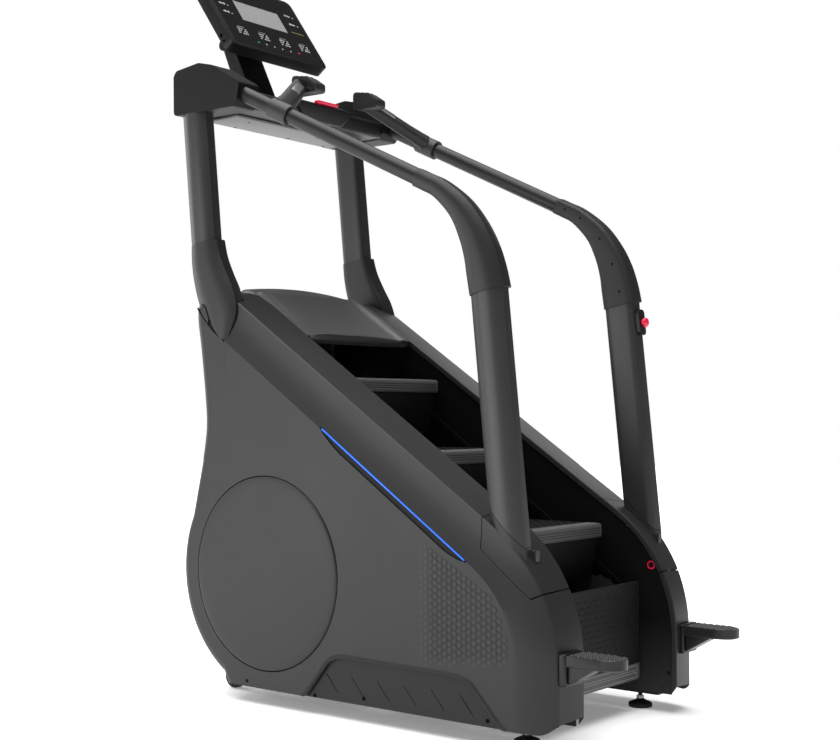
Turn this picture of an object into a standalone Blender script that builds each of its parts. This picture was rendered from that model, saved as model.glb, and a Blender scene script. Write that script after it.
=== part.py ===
"""Stair climber: a revolving staircase between two covered side frames, with handrails and a console.

Metres. +X is the user's right, +Y is the way the user faces, +Z is up.
Every length below is measured from the front feet (Y = 0) and the floor (Z = 0);
the root empty then moves the whole machine so that its footprint is centred on the origin.
"""
import bpy
import bmesh
from math import atan2, cos, hypot, pi, radians, sin
from mathutils import Matrix, Vector

# ---- Driving dimensions -------------------------------------------------------------------
ORIGIN_Y = 0.49608       # middle of the machine's length, from the front feet
GAP = 0.0004             # clearance between pieces that touch

# Staircase
STEP_RUN = 0.2755
STEP_RISE = 0.194
STEP_COUNT = 7
STEP_HALF_WIDTH = 0.204
TREAD_DEPTH = 0.254
PIN_BACK = 0.102         # chain pin, behind the nose of its step
PIN_DOWN = 0.0508        # chain pin, below the tread
PITCH = hypot(STEP_RUN, STEP_RISE)
CHAIN_ANGLE = atan2(STEP_RISE, STEP_RUN)
SPROCKET_R = PITCH / pi  # half a turn carries one step
CHAIN_SPAN = 2.5 * PITCH
LOWER_AXLE = Vector((0.0, 0.1056, 0.2476))
UPPER_AXLE = LOWER_AXLE + Vector((0.0, cos(CHAIN_ANGLE), sin(CHAIN_ANGLE))) * CHAIN_SPAN
CHAIN_X = 0.2155
CROSS_TUBES = (0.390, 0.860)
SHAFT_R = 0.012

# Side covers, seen from the side
FRONT_Y = -0.131
FRONT_ARC_R = 0.38
FRONT_ARC_Z = 0.200
INCLINE = radians(33.62)
INCLINE_END_Y = 0.89
COVER_BOTTOM = 0.034     # at the stairwell
COVER_BOTTOM_RISE = 0.011
REAR_CURVE = ((0.965, 1.114), (1.018, 1.108), (1.050, 1.082), (1.057, 1.040), (1.043, 0.950),
              (1.026, 0.820), (1.021, 0.735), (1.036, 0.640))
DISC_Y, DISC_Z = 0.776, 0.351
DISC_R = 0.258
BULGE_R = 0.328          # rear outline, round the disc

# Side covers, across
INNER_X = 0.2235
CREASE_X = 0.338         # outer edge of the top strip, on the incline
FRONT_CREASE_X = 0.316
REAR_CREASE_X = 0.328
SIDE_X = 0.358
STRIP_DROP = 0.0105
SHOULDER = 0.115
FRONT_SHOULDER = 0.103
REAR_SHOULDER = 0.030
LIP = 0.014
SKIN = 0.003
PANEL_X = 0.2295         # inner wall of the stairwell

# Posts and rails
FRONT_POST_X = 0.312
REAR_POST_X = 0.3245
POST_HALF_X = 0.027
POST_HALF_Y = 0.048
POST_LEAN = 0.104
FRONT_POST_Y = 0.0215    # at z = FRONT_POST_Z
FRONT_POST_Z = 0.549
REAR_POST_Y = 1.0445     # at z = REAR_POST_Z
REAR_POST_Z = 1.252
RAIL_X = 0.319
RAIL_LOW = (0.284, 1.3605)
RAIL_HIGH = (0.930, 1.6695)
RAIL_HALF_X = 0.0185
RAIL_HALF_Z = 0.0215
GRIP_Y = 0.757
BOX_OUTLINE = ((1.154, 1.622), (1.156, 1.735), (1.145, 1.750), (1.052, 1.760), (1.000, 1.747),
               (0.890, 1.684), (0.898, 1.640), (0.912, 1.619), (1.006, 1.620))
BOX_OUTER_X = 0.350
BOX_INNER_X = 0.270

# Dash and console
DASH_BOTTOM = 1.622
DASH_TOP = 1.672
DASH_FRONT = 0.885
DASH_REAR = 1.112
CONSOLE_TILT = radians(54.7)
CONSOLE_EDGE = (1.064, 1.848)    # lower edge of the face
CONSOLE_HALF_X = 0.2045
CONSOLE_HEIGHT = 0.297
CONSOLE_DEPTH = 0.036
CONSOLE_HINGE = (0.147, -0.118)  # up the face, behind it
MAST_HALF_X = 0.055
ARM_X = 0.0575

# Feet, wheels, pegs
FOOT_X = 0.267
FOOT_R = 0.0315
WHEEL_X = 0.225
WHEEL_Y = 1.020
WHEEL_R = 0.033
PEG_X = 0.277
PEG_TOP = 0.230
PEG_TIP = -0.276

COLLECTION = "stair_climber"
UPRIGHT = Matrix(((0, 0, 1), (1, 0, 0), (0, 1, 0))).to_4x4()   # outline (y, z), thickness along X


# ---- Scene, materials and small helpers ---------------------------------------------------
def clear_scene():
    for obj in list(bpy.data.objects):
        bpy.data.objects.remove(obj)
    for mesh in list(bpy.data.meshes):
        bpy.data.meshes.remove(mesh)


def new_collection(name):
    made = bpy.data.collections.new(name)
    bpy.context.scene.collection.children.link(made)
    return made


def material(name, colour, roughness, metallic=0.0, glow=0.0):
    made = bpy.data.materials.new(name)
    made.use_nodes = True
    shader = made.node_tree.nodes["Principled BSDF"]
    shader.inputs["Base Color"].default_value = (*colour, 1.0)
    shader.inputs["Roughness"].default_value = roughness
    shader.inputs["Metallic"].default_value = metallic
    if glow:
        shader.inputs["Emission Color"].default_value = (*colour, 1.0)
        shader.inputs["Emission Strength"].default_value = glow
    made.diffuse_color = (*colour, 1.0)
    return made


def place(name, data, surface, parent=None, smooth=30):
    """Links a mesh or curve as a named piece. Its data is in machine coordinates."""
    obj = bpy.data.objects.new(name, data)
    PART.objects.link(obj)
    obj.parent = parent or ROOT
    if parent:
        obj.matrix_parent_inverse = parent.matrix_local.inverted()
    obj.data.materials.clear()
    obj.data.materials.append(surface)
    if obj.type == "MESH" and smooth:
        data.shade_smooth()
        data.set_sharp_from_angle(angle=radians(smooth))
    return obj


def as_mesh(obj):
    """The evaluated mesh of an object, in its own coordinates, with its caps welded; the object goes."""
    bpy.context.view_layer.update()
    graph = bpy.context.evaluated_depsgraph_get()
    mesh = bpy.data.meshes.new_from_object(obj.evaluated_get(graph))
    bm = bmesh.new()
    bm.from_mesh(mesh)
    bmesh.ops.remove_doubles(bm, verts=bm.verts, dist=0.000005)
    bmesh.ops.recalc_face_normals(bm, faces=bm.faces)
    bm.to_mesh(mesh)
    bm.free()
    bpy.data.objects.remove(obj)
    return mesh


def scratch(data):
    obj = bpy.data.objects.new("scratch", data)
    CUTTERS.objects.link(obj)
    return obj


def finish_mesh(bm):
    bmesh.ops.recalc_face_normals(bm, faces=bm.faces)
    mesh = bpy.data.meshes.new("piece")
    bm.to_mesh(mesh)
    bm.free()
    return mesh


def bevelled(mesh, width, segments=2, angle=40):
    if not width:
        return mesh
    obj = scratch(mesh)
    bevel = obj.modifiers.new("edges", "BEVEL")
    bevel.width = width
    bevel.segments = segments
    bevel.limit_method = "ANGLE"
    bevel.angle_limit = radians(angle)
    return as_mesh(obj)


def box(low, high, bevel=0.0, segments=2):
    bm = bmesh.new()
    bmesh.ops.create_cube(bm, size=1.0)
    size = Vector(high) - Vector(low)
    middle = (Vector(high) + Vector(low)) / 2
    bmesh.ops.transform(bm, matrix=Matrix.Translation(middle) @ Matrix.Diagonal((*size, 1)),
                        verts=bm.verts)
    return bevelled(finish_mesh(bm), bevel, segments)


def rod(start, end, radius, radius_end=None, sides=20):
    """A cylinder or cone between two points."""
    start, end = Vector(start), Vector(end)
    axis = end - start
    bm = bmesh.new()
    last = radius if radius_end is None else radius_end
    depth = axis.length
    bmesh.ops.create_cone(bm, cap_ends=True, segments=sides, radius1=radius, radius2=last, depth=depth)
    turn = axis.to_track_quat("Z", "Y").to_matrix().to_4x4()
    bmesh.ops.transform(bm, matrix=Matrix.Translation((start + end) / 2) @ turn, verts=bm.verts)
    return finish_mesh(bm)


def plate(outline, x_low, x_high, bevel=0.0, segments=2):
    """A flat outline of (y, z) points, given thickness along X."""
    curve = bpy.data.curves.new("outline", "CURVE")
    curve.dimensions = "2D"
    curve.fill_mode = "BOTH"
    curve.extrude = (x_high - x_low) / 2
    spline = curve.splines.new("POLY")
    spline.points.add(len(outline) - 1)
    for point, (y, z) in zip(spline.points, outline):
        point.co = (y, z, 0.0, 1.0)
    spline.use_cyclic_u = True
    mesh = as_mesh(scratch(curve))
    mesh.transform(Matrix.Translation(((x_low + x_high) / 2, 0, 0)) @ UPRIGHT)
    return bevelled(mesh, bevel, segments)


def turned(profile, steps, matrix=Matrix()):
    """A profile of (radius, height) points, turned about Z and then moved."""
    bm = bmesh.new()
    verts = [bm.verts.new((r, 0, h)) for r, h in profile]
    for a, b in zip(verts, verts[1:]):
        bm.edges.new((a, b))
    mesh = bpy.data.meshes.new("profile")
    bm.to_mesh(mesh)
    bm.free()
    obj = scratch(mesh)
    screw = obj.modifiers.new("turn", "SCREW")
    screw.steps = steps
    screw.render_steps = steps
    screw.use_merge_vertices = True
    screw.merge_threshold = 0.00001
    made = as_mesh(obj)
    made.transform(matrix)
    return made


def loft(rings, closed=False):
    """Joins rings of equally many points with quads; open ends are capped."""
    bm = bmesh.new()
    rows = [[bm.verts.new(p) for p in ring] for ring in rings]
    pairs = list(zip(rows, rows[1:]))
    if closed:
        pairs.append((rows[-1], rows[0]))
    for low, high in pairs:
        for i in range(len(low)):
            j = (i + 1) % len(low)
            bm.faces.new((low[i], low[j], high[j], high[i]))
    if not closed:
        bm.faces.new(rows[0][::-1])
        bm.faces.new(rows[-1])
    return finish_mesh(bm)


def sheet(rows, thickness, outward):
    """An open grid of points given a skin on its inner side; outward is a point well outside it."""
    bm = bmesh.new()
    grid = [[bm.verts.new(p) for p in row] for row in rows]
    for low, high in zip(grid, grid[1:]):
        for i in range(len(low) - 1):
            bm.faces.new((low[i], low[i + 1], high[i + 1], high[i]))
    return skinned(bm, thickness, outward)


def skinned(bm, thickness, outward):
    bmesh.ops.recalc_face_normals(bm, faces=bm.faces)
    bm.normal_update()
    middle = max(bm.faces, key=lambda face: face.calc_area())
    if middle.normal.dot(Vector(outward) - middle.calc_center_median()) < 0:
        bmesh.ops.reverse_faces(bm, faces=bm.faces)
    mesh = bpy.data.meshes.new("skin")
    bm.to_mesh(mesh)
    bm.free()
    obj = scratch(mesh)
    solid = obj.modifiers.new("skin", "SOLIDIFY")
    solid.thickness = thickness
    solid.offset = -1.0
    solid.use_even_offset = True
    return as_mesh(obj)


def combine(mesh, others, operation):
    """Unites a mesh with others, or cuts them from it."""
    obj = scratch(mesh)
    helpers = []
    for other in others:
        helper = scratch(other)
        helper.hide_render = True
        helper.display_type = "WIRE"
        step = obj.modifiers.new(operation, "BOOLEAN")
        step.operation = operation
        step.solver = "EXACT"
        step.object = helper
        helpers.append(helper)
    made = as_mesh(obj)
    for helper in helpers:
        bpy.data.objects.remove(helper)
    return made


def union(mesh, *others):
    return combine(mesh, others, "UNION")


def cut(mesh, *others):
    return combine(mesh, others, "DIFFERENCE")


def mirrored(mesh):
    made = mesh.copy()
    made.transform(Matrix.Diagonal((-1, 1, 1, 1)))
    made.flip_normals()
    return made


def both_sides(name, mesh, surface, smooth=30):
    """The mesh is the left piece, at negative X; the right one is its mirror image."""
    place("right_" + name, mirrored(mesh), surface, smooth=smooth)
    place("left_" + name, mesh, surface, smooth=smooth)


def joint_empty(name, location, rotation=(0.0, 0.0, 0.0)):
    empty = bpy.data.objects.new(name, None)
    PART.objects.link(empty)
    empty.location = location
    empty.rotation_euler = rotation
    empty.parent = ROOT
    bpy.context.view_layer.update()
    return empty


def rounded(corners, radius, steps=3):
    """A closed outline whose corners are replaced by arcs."""
    made = []
    count = len(corners)
    for i in range(count):
        here = Vector(corners[i])
        before = (Vector(corners[i - 1]) - here).normalized()
        after = (Vector(corners[(i + 1) % count]) - here).normalized()
        half = before.angle(after) / 2
        reach = min(radius / max(sin(half) / cos(half), 1e-6),
                    0.45 * (Vector(corners[i - 1]) - here).length,
                    0.45 * (Vector(corners[(i + 1) % count]) - here).length)
        for k in range(steps + 1):
            t = k / steps
            a = here + before * reach
            b = here + after * reach
            made.append(tuple(a * (1 - t) ** 2 + here * 2 * t * (1 - t) + b * t ** 2))
    return made


def smooth_curve(points, steps):
    """Catmull-Rom points through a list of 2D or 3D points."""
    made = []
    for i in range(len(points) - 1):
        p0 = Vector(points[max(i - 1, 0)])
        p1 = Vector(points[i])
        p2 = Vector(points[i + 1])
        p3 = Vector(points[min(i + 2, len(points) - 1)])
        for k in range(steps):
            t = k / steps
            made.append(0.5 * (2 * p1 + (p2 - p0) * t + (2 * p0 - 5 * p1 + 4 * p2 - p3) * t * t
                               + (3 * p1 - p0 - 3 * p2 + p3) * t ** 3))
    made.append(Vector(points[-1]))
    return made


# ---- Side outline of the body -------------------------------------------------------------
def incline_z(y):
    start = (FRONT_Y + FRONT_ARC_R - FRONT_ARC_R * sin(INCLINE), FRONT_ARC_Z + FRONT_ARC_R * cos(INCLINE))
    return start[1] + (y - start[0]) * sin(INCLINE) / cos(INCLINE)


def incline_point(y):
    return Vector((y, incline_z(y)))


def blend(low, high, t):
    return low + (high - low) * t


def body_outline():
    """Stations up the front, along the incline and down the rear.
    Each is (point, inward normal, crease x, drop, reach).
    The last three say where the top strip ends across, how far it has dropped there, and where the
    shoulder below it has run out into the flat side."""
    front = (FRONT_CREASE_X, STRIP_DROP, FRONT_SHOULDER)
    top = (CREASE_X, STRIP_DROP, SHOULDER)
    rear = (REAR_CREASE_X, 0.0, REAR_SHOULDER)
    points = [Vector((FRONT_Y, z)) for z in (0.072, 0.105, 0.150)]
    shape = [front] * len(points)
    centre = Vector((FRONT_Y + FRONT_ARC_R, FRONT_ARC_Z))
    turn = pi / 2 - INCLINE
    for k in range(9):
        points.append(centre + FRONT_ARC_R * Vector((-cos(turn * k / 8), sin(turn * k / 8))))
        shape.append([blend(a, b, k / 8) for a, b in zip(front, top)])
    for y in (0.20, 0.40, 0.60, 0.78, INCLINE_END_Y):
        points.append(incline_point(y))
        shape.append(top)
    back = smooth_curve(REAR_CURVE, 2)
    disc = Vector((DISC_Y, DISC_Z))
    for k in range(9):
        a = radians(28) - radians(90) * k / 8
        back.append(disc + BULGE_R * Vector((cos(a), sin(a))))
    for k, point in enumerate(back):
        points.append(point)
        shape.append([blend(a, b, min(1.0, 0.3 + 0.2 * k)) for a, b in zip(top, rear)])
    stations = []
    for i, point in enumerate(points):
        along = (points[min(i + 1, len(points) - 1)] - points[max(i - 1, 0)]).normalized()
        stations.append((point, Vector((along.y, -along.x)), *shape[i]))
    return stations


def section(crease_x, drop, reach):
    """(x, inset) of the cover's skin from the lip in the stairwell to the end of the shoulder."""
    crease = (crease_x, drop)
    bend = (blend(crease_x, SIDE_X, 0.85), blend(drop, reach, 0.35 if drop else 0.0))
    made = [(INNER_X, LIP), (INNER_X, 0.0), crease]
    for k in range(1, 6):
        t = k / 5
        made.append(tuple((1 - t) ** 2 * a + 2 * t * (1 - t) * b + t * t * c
                          for a, b, c in zip(crease, bend, (SIDE_X, reach))))
    return made


def cover_point(station, first, last, x, inset):
    point, inward = station[:2]
    y, z = point + inward * inset
    if first:
        z = COVER_BOTTOM + 0.038 * max(0.0, 1 - inset / 0.05) ** 2
    if last:
        y, z = point.x - 1.1 * inset, COVER_BOTTOM
    if first or last:
        z += COVER_BOTTOM_RISE * max(0.0, (abs(x) - INNER_X) / (SIDE_X - INNER_X))
    return Vector((-x, y, z))


def side_cover_mesh():
    stations = body_outline()
    last = len(stations) - 1
    rows = []
    for i, station in enumerate(stations):
        rows.append([cover_point(station, i == 0, i == last, x, n) for x, n in section(*station[2:])])
    bm = bmesh.new()
    grid = [[bm.verts.new(p) for p in row] for row in rows]
    for low, high in zip(grid, grid[1:]):
        for i in range(len(low) - 1):
            bm.faces.new((low[i], low[i + 1], high[i + 1], high[i]))
    bm.faces.new([row[-1] for row in grid])
    return skinned(bm, SKIN, (-2.0, 0.5, 0.5))


def inset_outline(inset, y_max=None):
    """The body's outline moved inwards, closed along the bottom."""
    stations = body_outline()
    last = len(stations) - 1
    made = []
    for i, station in enumerate(stations):
        _, y, z = cover_point(station, i == 0, i == last, 0.0, inset)
        made.append((min(y, y_max) if y_max else y, z))
    return made


# ---- D-shaped posts -----------------------------------------------------------------------
def d_section(half_x, half_y, count=20):
    """(outward, forward) points: convex outside, flatter towards the user."""
    made = []
    for k in range(count):
        a = 2 * pi * k / count
        c, s = cos(a), sin(a)
        power = 2.2 if c > 0 else 4.5
        size = (abs(c) ** power + abs(s) ** power) ** (-1 / power)
        made.append((half_x * c * size, half_y * s * size))
    return made


def ring(centre, tangent, half_x, half_y, x_centre, count=20):
    """A D section at centre (y, z), square to tangent (y, z), on the left side."""
    tangent = Vector(tangent).normalized()
    forward = Vector((-tangent.y, tangent.x))
    return [Vector((-(x_centre + o), centre[0] + f * forward.x, centre[1] + f * forward.y))
            for o, f in d_section(half_x, half_y, count)]


def cut_ring(points, tangent, height):
    """Slides ring points along tangent until z = height(y)."""
    made = []
    for p in points:
        slope = height(p.y + 0.001) - height(p.y)
        travel = (height(p.y) - p.z) / (tangent[1] - slope / 0.001 * tangent[0])
        made.append(p + Vector((0, tangent[0], tangent[1])) * travel)
    return made


# ---- Body covers --------------------------------------------------------------------------
PATCH_OUTLINE = ((0.115, 0.62), (0.079, 0.535), (0.079, 0.458), (-0.057, 0.351), (-0.083, 0.363),
                 (-0.106, 0.377), (-0.16, 0.40), (-0.16, 0.62))
LED_START = (0.574, 0.736)
LED_END = (0.117, 0.429)
LED_HALF_WIDTH = 0.003
RECESS = ((0.628, 0.02), (0.550, 0.147), (0.510, 0.162), (0.136, 0.157), (0.101, 0.147), (0.010, 0.02))


def band(start, end, half_width):
    """The outline of a straight strip between two points."""
    start, end = Vector(start), Vector(end)
    across = Vector((-(end - start).y, (end - start).x)).normalized() * half_width
    return [start + across, start - across, end - across, end + across]


def patch_block(grow):
    """The prism that parts the post's base cover from the side cover."""
    middle = Vector((0.0, 0.46))
    corners = [tuple(middle + (Vector(p) - middle) * (1 + grow / 0.12)) for p in PATCH_OUTLINE]
    return plate(corners, -0.40, -0.20)


def build_side_covers():
    skin = side_cover_mesh()
    disc_hole = rod((-0.40, DISC_Y, DISC_Z), (-0.30, DISC_Y, DISC_Z), DISC_R, sides=64)
    led_slot = plate(band(LED_START, LED_END, LED_HALF_WIDTH + GAP), -0.40, -0.30)
    recess = plate(RECESS, -0.40, -(SIDE_X - 0.0014))
    cover = cut(skin, disc_hole, led_slot, recess, patch_block(GAP), sleeve_solid(0.0006))
    both_sides("side_cover", cover, BODY)
    patch = combine(side_cover_mesh(), [patch_block(0.0)], "INTERSECT")
    both_sides("post_base_cover", cut(patch, front_post_solid(0.0006, 0.08)), BODY)


def build_disc_covers():
    x = -(SIDE_X - 0.0036)
    face = DISC_R - 0.0006
    profile = [(0.0, -0.0010), (face - 0.016, -0.0010), (face, -0.0034), (face, 0.0036),
               (face - 0.006, 0.0072),
               (0.120, 0.0084), (0.0, 0.0088)]
    turn = Matrix.Translation((x, DISC_Y, DISC_Z)) @ Matrix.Rotation(-pi / 2, 4, "Y")
    both_sides("disc_cover", turned(profile[::-1], 64, turn), BODY)


def build_led_strips():
    strip = plate(band(LED_START, LED_END, LED_HALF_WIDTH), -(SIDE_X + 0.0006), -(SIDE_X - 0.005))
    both_sides("led_strip", strip, BLUE, smooth=0)


def build_inner_panels():
    outline = inset_outline(LIP + 0.004)
    wall = plate(outline, -(PANEL_X + 0.003), -PANEL_X)
    holes = []
    for axle in (LOWER_AXLE, UPPER_AXLE):
        holes.append(rod((-0.30, axle.y, axle.z), (-0.20, axle.y, axle.z), 0.024))
    holes += [box((-0.25, y - 0.0206, 0.0454), (-0.20, y + 0.0206, 0.0866)) for y in CROSS_TUBES]
    wall = cut(wall, *holes)
    ring_at = (0.0, -0.0554, 0.3797)
    seat = rod((0.20, *ring_at[1:]), (0.26, *ring_at[1:]), 0.0118, sides=32)
    place("right_inner_panel", cut(mirrored(wall), seat), INNER)
    place("left_inner_panel", wall, INNER)
    seat = Matrix.Translation((PANEL_X + 0.003, *ring_at[1:])) @ Matrix.Rotation(-pi / 2, 4, "Y")
    bezel = [(0.0, 0.0), (0.0112, 0.0), (0.0112, 0.006), (0.0100, 0.0075), (0.0070, 0.0075),
             (0.0065, 0.006),
             (0.0, 0.006)]
    place("standby_button", turned(bezel[::-1], 32, seat), RED)


HOOD_LIP = (0.752, 0.984)
HOOD_CREST = (0.975, 1.150)
HOOD_X = INNER_X - GAP


def hood_row(t):
    """Points across the hood. t runs from the lip (0) over the crest (1) to the rear edge (2)."""
    made = []
    for k in range(-6, 7):
        u = k / 6
        arch = 1 - u * u
        if t <= 1:
            y = blend(HOOD_LIP[0] + 0.026 * arch, HOOD_CREST[0], t)
            z = min(incline_z(y), incline_z(HOOD_CREST[0] - 0.03)) - 0.004
            z += (0.020 * arch) * t ** 3 - 0.012 * (1 - t) ** 2 * arch - 0.012 * t ** 4
            if t == 0:
                z = HOOD_LIP[1] - 0.004
        else:
            y, z = smooth_hood_back(t - 1)
            y += 0.012 * arch * (t - 1)
            z += 0.016 * arch * (2 - t)
        made.append((u * HOOD_X, y, z))
    return made


def smooth_hood_back(t):
    """The rear part of the hood's section: from the crest over to the top of the rear cover."""
    crest_z = incline_z(HOOD_CREST[0] - 0.03) - 0.016
    points = smooth_curve(((HOOD_CREST[0], crest_z), (1.020, 1.118), (1.050, 1.082), (1.0575, 1.0405)), 4)
    place_at = t * (len(points) - 1)
    low = min(int(place_at), len(points) - 2)
    return points[low].lerp(points[low + 1], place_at - low)


def build_hood():
    rows = [hood_row(t) for t in (0.0, 0.16, 0.30, 0.5, 0.7, 0.85, 1.0, 1.25, 1.5, 1.75, 2.0)]
    place("hood", sheet(rows, SKIN, (0.0, 0.9, 3.0)), BODY, smooth=50)


def build_rear_cover():
    back = [Vector((1.0575, 1.0395)), *smooth_curve(REAR_CURVE, 2)[7:]]
    disc = Vector((DISC_Y, DISC_Z))
    for degrees in (28, 14, 0, -14, -28, -42, -52):
        back.append(disc + BULGE_R * Vector((cos(radians(degrees)), sin(radians(degrees)))))
    rows = []
    for i, point in enumerate(back):
        swell = min(1.0, i / 3) * min(1.0, (len(back) - 1 - i) / 2)
        rows.append([Vector((u * HOOD_X, point.x + 0.012 + 0.010 * swell * (1 - u * u), point.y))
                     for u in (-1, -0.8, -0.4, 0, 0.4, 0.8, 1)])
    rows[0] = [Vector((p.x, p.y - 0.0115, p.z)) for p in rows[0]]
    cover = sheet(rows, SKIN, (0.0, 3.0, 0.7))
    socket = Matrix.Translation(INLET_AT) @ Matrix.Rotation(INLET_TILT, 4, "X")
    opening = box((-0.0250, -0.05, -0.0155), (0.0250, 0.05, 0.0155))
    opening.transform(socket)
    place("rear_cover", cut(cover, opening), BODY, smooth=50)
    body = box((-0.0245, -0.034, -0.0150), (0.0245, 0.004, 0.0150), 0.002)
    inlet = cut(body, box((-0.0125, -0.013, -0.0088), (0.0125, 0.02, 0.0088), 0.001))
    inlet.transform(socket)
    place("power_inlet", inlet, BLACK)


INLET_AT = (0.10, 1.102, 0.270)
INLET_TILT = radians(-14)


# ---- Posts, sleeves, rails ----------------------------------------------------------------
def lean(y, z, at):
    """The Y of a leaning post's axis at height at."""
    return y + POST_LEAN * (at - z)


POST_DIRECTION = Vector((POST_LEAN, 1.0)).normalized()
FOOT_DEPTH = 0.035       # how far a front post goes down inside the body


def sleeve_seam(y):
    """Height of the seam between the front post and its sleeve."""
    return FRONT_SLEEVE[0][1] - 0.2021 * (y - FRONT_SLEEVE[0][0]) - 0.0006


def front_post_solid(grow, foot=FOOT_DEPTH):
    """A front post from its slanted foot, inside the body, to the seam under its sleeve."""
    half_x, half_y = POST_HALF_X + grow, POST_HALF_Y + grow
    middle = ring((lean(FRONT_POST_Y, FRONT_POST_Z, 0.8), 0.8), POST_DIRECTION, half_x, half_y,
                  FRONT_POST_X)
    return loft([cut_ring(middle, POST_DIRECTION, lambda y: foot_z(y) - foot),
                 cut_ring(middle, POST_DIRECTION, sleeve_seam)])


def foot_z(y):
    """The slanted cut at the foot of a front post: a little steeper than the strip it stands on."""
    return 0.468 + (y + 0.030) * 0.92


def rear_post_solid():
    middle = ring((lean(REAR_POST_Y, REAR_POST_Z, 1.4), 1.4), POST_DIRECTION, POST_HALF_X, POST_HALF_Y,
                  REAR_POST_X)
    return loft([cut_ring(middle, POST_DIRECTION,
                          lambda y: REAR_SLEEVE[-1][1] - SLEEVE_LEAN * (y - REAR_SLEEVE[-1][0]) + 0.0006),
                 cut_ring(middle, POST_DIRECTION, lambda y: 1.6194 + 0.0135 * (y - 1.006))])


FRONT_SLEEVE = ((0.0735, 1.068, 0.0535, 0.031), (0.0830, 1.115, 0.0515, 0.031),
                (0.0960, 1.165, 0.0465, 0.030),
                (0.1190, 1.218, 0.0400, 0.0285), (0.1560, 1.274, 0.0320, 0.0265),
                (0.2130, 1.3245, 0.0255, 0.0240),
                (0.2560, 1.347, 0.0240, 0.0225), (0.2850, 1.361, 0.0240, 0.0215))


def sleeve_rings(path, x_low, x_high):
    rings = []
    for i, (y, z, half_y, half_x) in enumerate(path):
        before = Vector(path[max(i - 1, 0)][:2])
        after = Vector(path[min(i + 1, len(path) - 1)][:2])
        x = blend(x_low, x_high, i / (len(path) - 1))
        rings.append(ring((y, z), after - before, half_x, half_y, x))
    return rings


REAR_SLEEVE = ((0.944, 0.968, 0.009, 0.3580, 0.3450), (0.954, 1.004, 0.038, 0.3595, 0.3220),
               (0.968, 1.052, 0.066, 0.3595, 0.3040), (0.990, 1.105, 0.073, 0.3585, 0.2970),
               (1.013, 1.155, 0.067, 0.3575, 0.2955), (1.031, 1.205, 0.059, 0.3565, 0.2945),
               (1.040, 1.253, 0.053, 0.3555, 0.2935))
SLEEVE_LEAN = 0.15


def sleeve_solid(grow):
    """The flared foot of a rear post, which tapers to a leaf point on the side of the body."""
    rings = []
    for y, z, half_y, outer, inner in REAR_SLEEVE:
        rings.append(ring((y, z), (SLEEVE_LEAN, 1.0), (outer - inner) / 2 + grow, half_y + grow,
                          (outer + inner) / 2))
    return loft(rings)


def build_posts():
    both_sides("front_post", front_post_solid(0.0), PAINT)
    both_sides("rear_post", rear_post_solid(), PAINT)
    front = cut(loft(sleeve_rings(FRONT_SLEEVE, FRONT_POST_X, RAIL_X)), oval_rail(0.0006, 0.001))
    both_sides("front_sleeve", front, BODY, smooth=50)
    both_sides("rear_sleeve", sleeve_solid(0.0), BODY, smooth=50)


def oval_rail(grow, extend=0.0):
    """A straight oval tube from the front sleeve to the corner box."""
    low, high = Vector(RAIL_LOW), Vector(RAIL_HIGH)
    along = (high - low).normalized()
    up = Vector((-along.y, along.x))
    rings = []
    for centre in (low - along * extend, high + along * extend):
        rings.append([Vector((-RAIL_X + (RAIL_HALF_X + grow) * cos(a),
                              centre.x + up.x * (RAIL_HALF_Z + grow) * sin(a),
                              centre.y + up.y * (RAIL_HALF_Z + grow) * sin(a)))
                      for a in (2 * pi * k / 20 for k in range(20))])
    return loft(rings)


def build_rails():
    both_sides("handrail", oval_rail(0.0), RAIL)
    corner = plate(rounded(BOX_OUTLINE, 0.010, 2), -BOX_OUTER_X, -BOX_INNER_X, 0.006, 2)
    both_sides("corner_box", cut(corner, oval_rail(0.0006, 0.001)), BODY)


# ---- Grip pods on the rails ---------------------------------------------------------------
ELBOW = Vector((-0.130, 0.853, 1.704))
HEAD_OUTLINE = ((0.874, 1.729), (0.812, 1.719), (0.779, 1.700), (0.779, 1.677), (0.870, 1.677))


def build_grips():
    along = (Vector(RAIL_HIGH) - Vector(RAIL_LOW)).normalized()
    slope = along.y / along.x
    def rail_at(y):
        return Vector((-RAIL_X, y, RAIL_LOW[1] + (y - RAIL_LOW[0]) * slope))
    collar = []
    for y in (GRIP_Y - 0.034, GRIP_Y + 0.034):
        centre = rail_at(y)
        collar.append([centre + Vector(((RAIL_HALF_X + 0.007) * cos(a),
                                        -along.y * (RAIL_HALF_Z + 0.007) * sin(a),
                                        along.x * (RAIL_HALF_Z + 0.007) * sin(a)))
                       for a in (2 * pi * k / 20 for k in range(20))])
    body = loft(collar)
    root = rail_at(GRIP_Y + 0.004) + Vector((0.006, 0.0, 0.008))
    direction = ELBOW - root
    arm = []
    for t, wide, deep in ((0.0, 0.0200, 0.0200), (0.3, 0.0185, 0.0180), (0.7, 0.0185, 0.0180),
                          (1.03, 0.0190, 0.0185)):
        arm.append(arm_ring(root.lerp(ELBOW, t), direction, wide, deep))
    head = plate(rounded(HEAD_OUTLINE, 0.012, 3), ELBOW.x - 0.024, ELBOW.x + 0.026, 0.004, 2)
    body = union(body, loft(arm), head)
    body = cut(body, oval_rail(0.0006, -0.01))
    both_sides("grip", body, GRIP, smooth=45)
    plate_rings = [arm_strip(root.lerp(ELBOW, t), direction, 0.0125, 0.0181) for t in (0.38, 0.66)]
    both_sides("pulse_plate", loft(plate_rings), STEEL)


def arm_axes(direction):
    forward = direction.normalized()
    across = forward.cross(Vector((-0.2, -0.8, 0.55))).normalized()
    return across, across.cross(forward)


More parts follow.
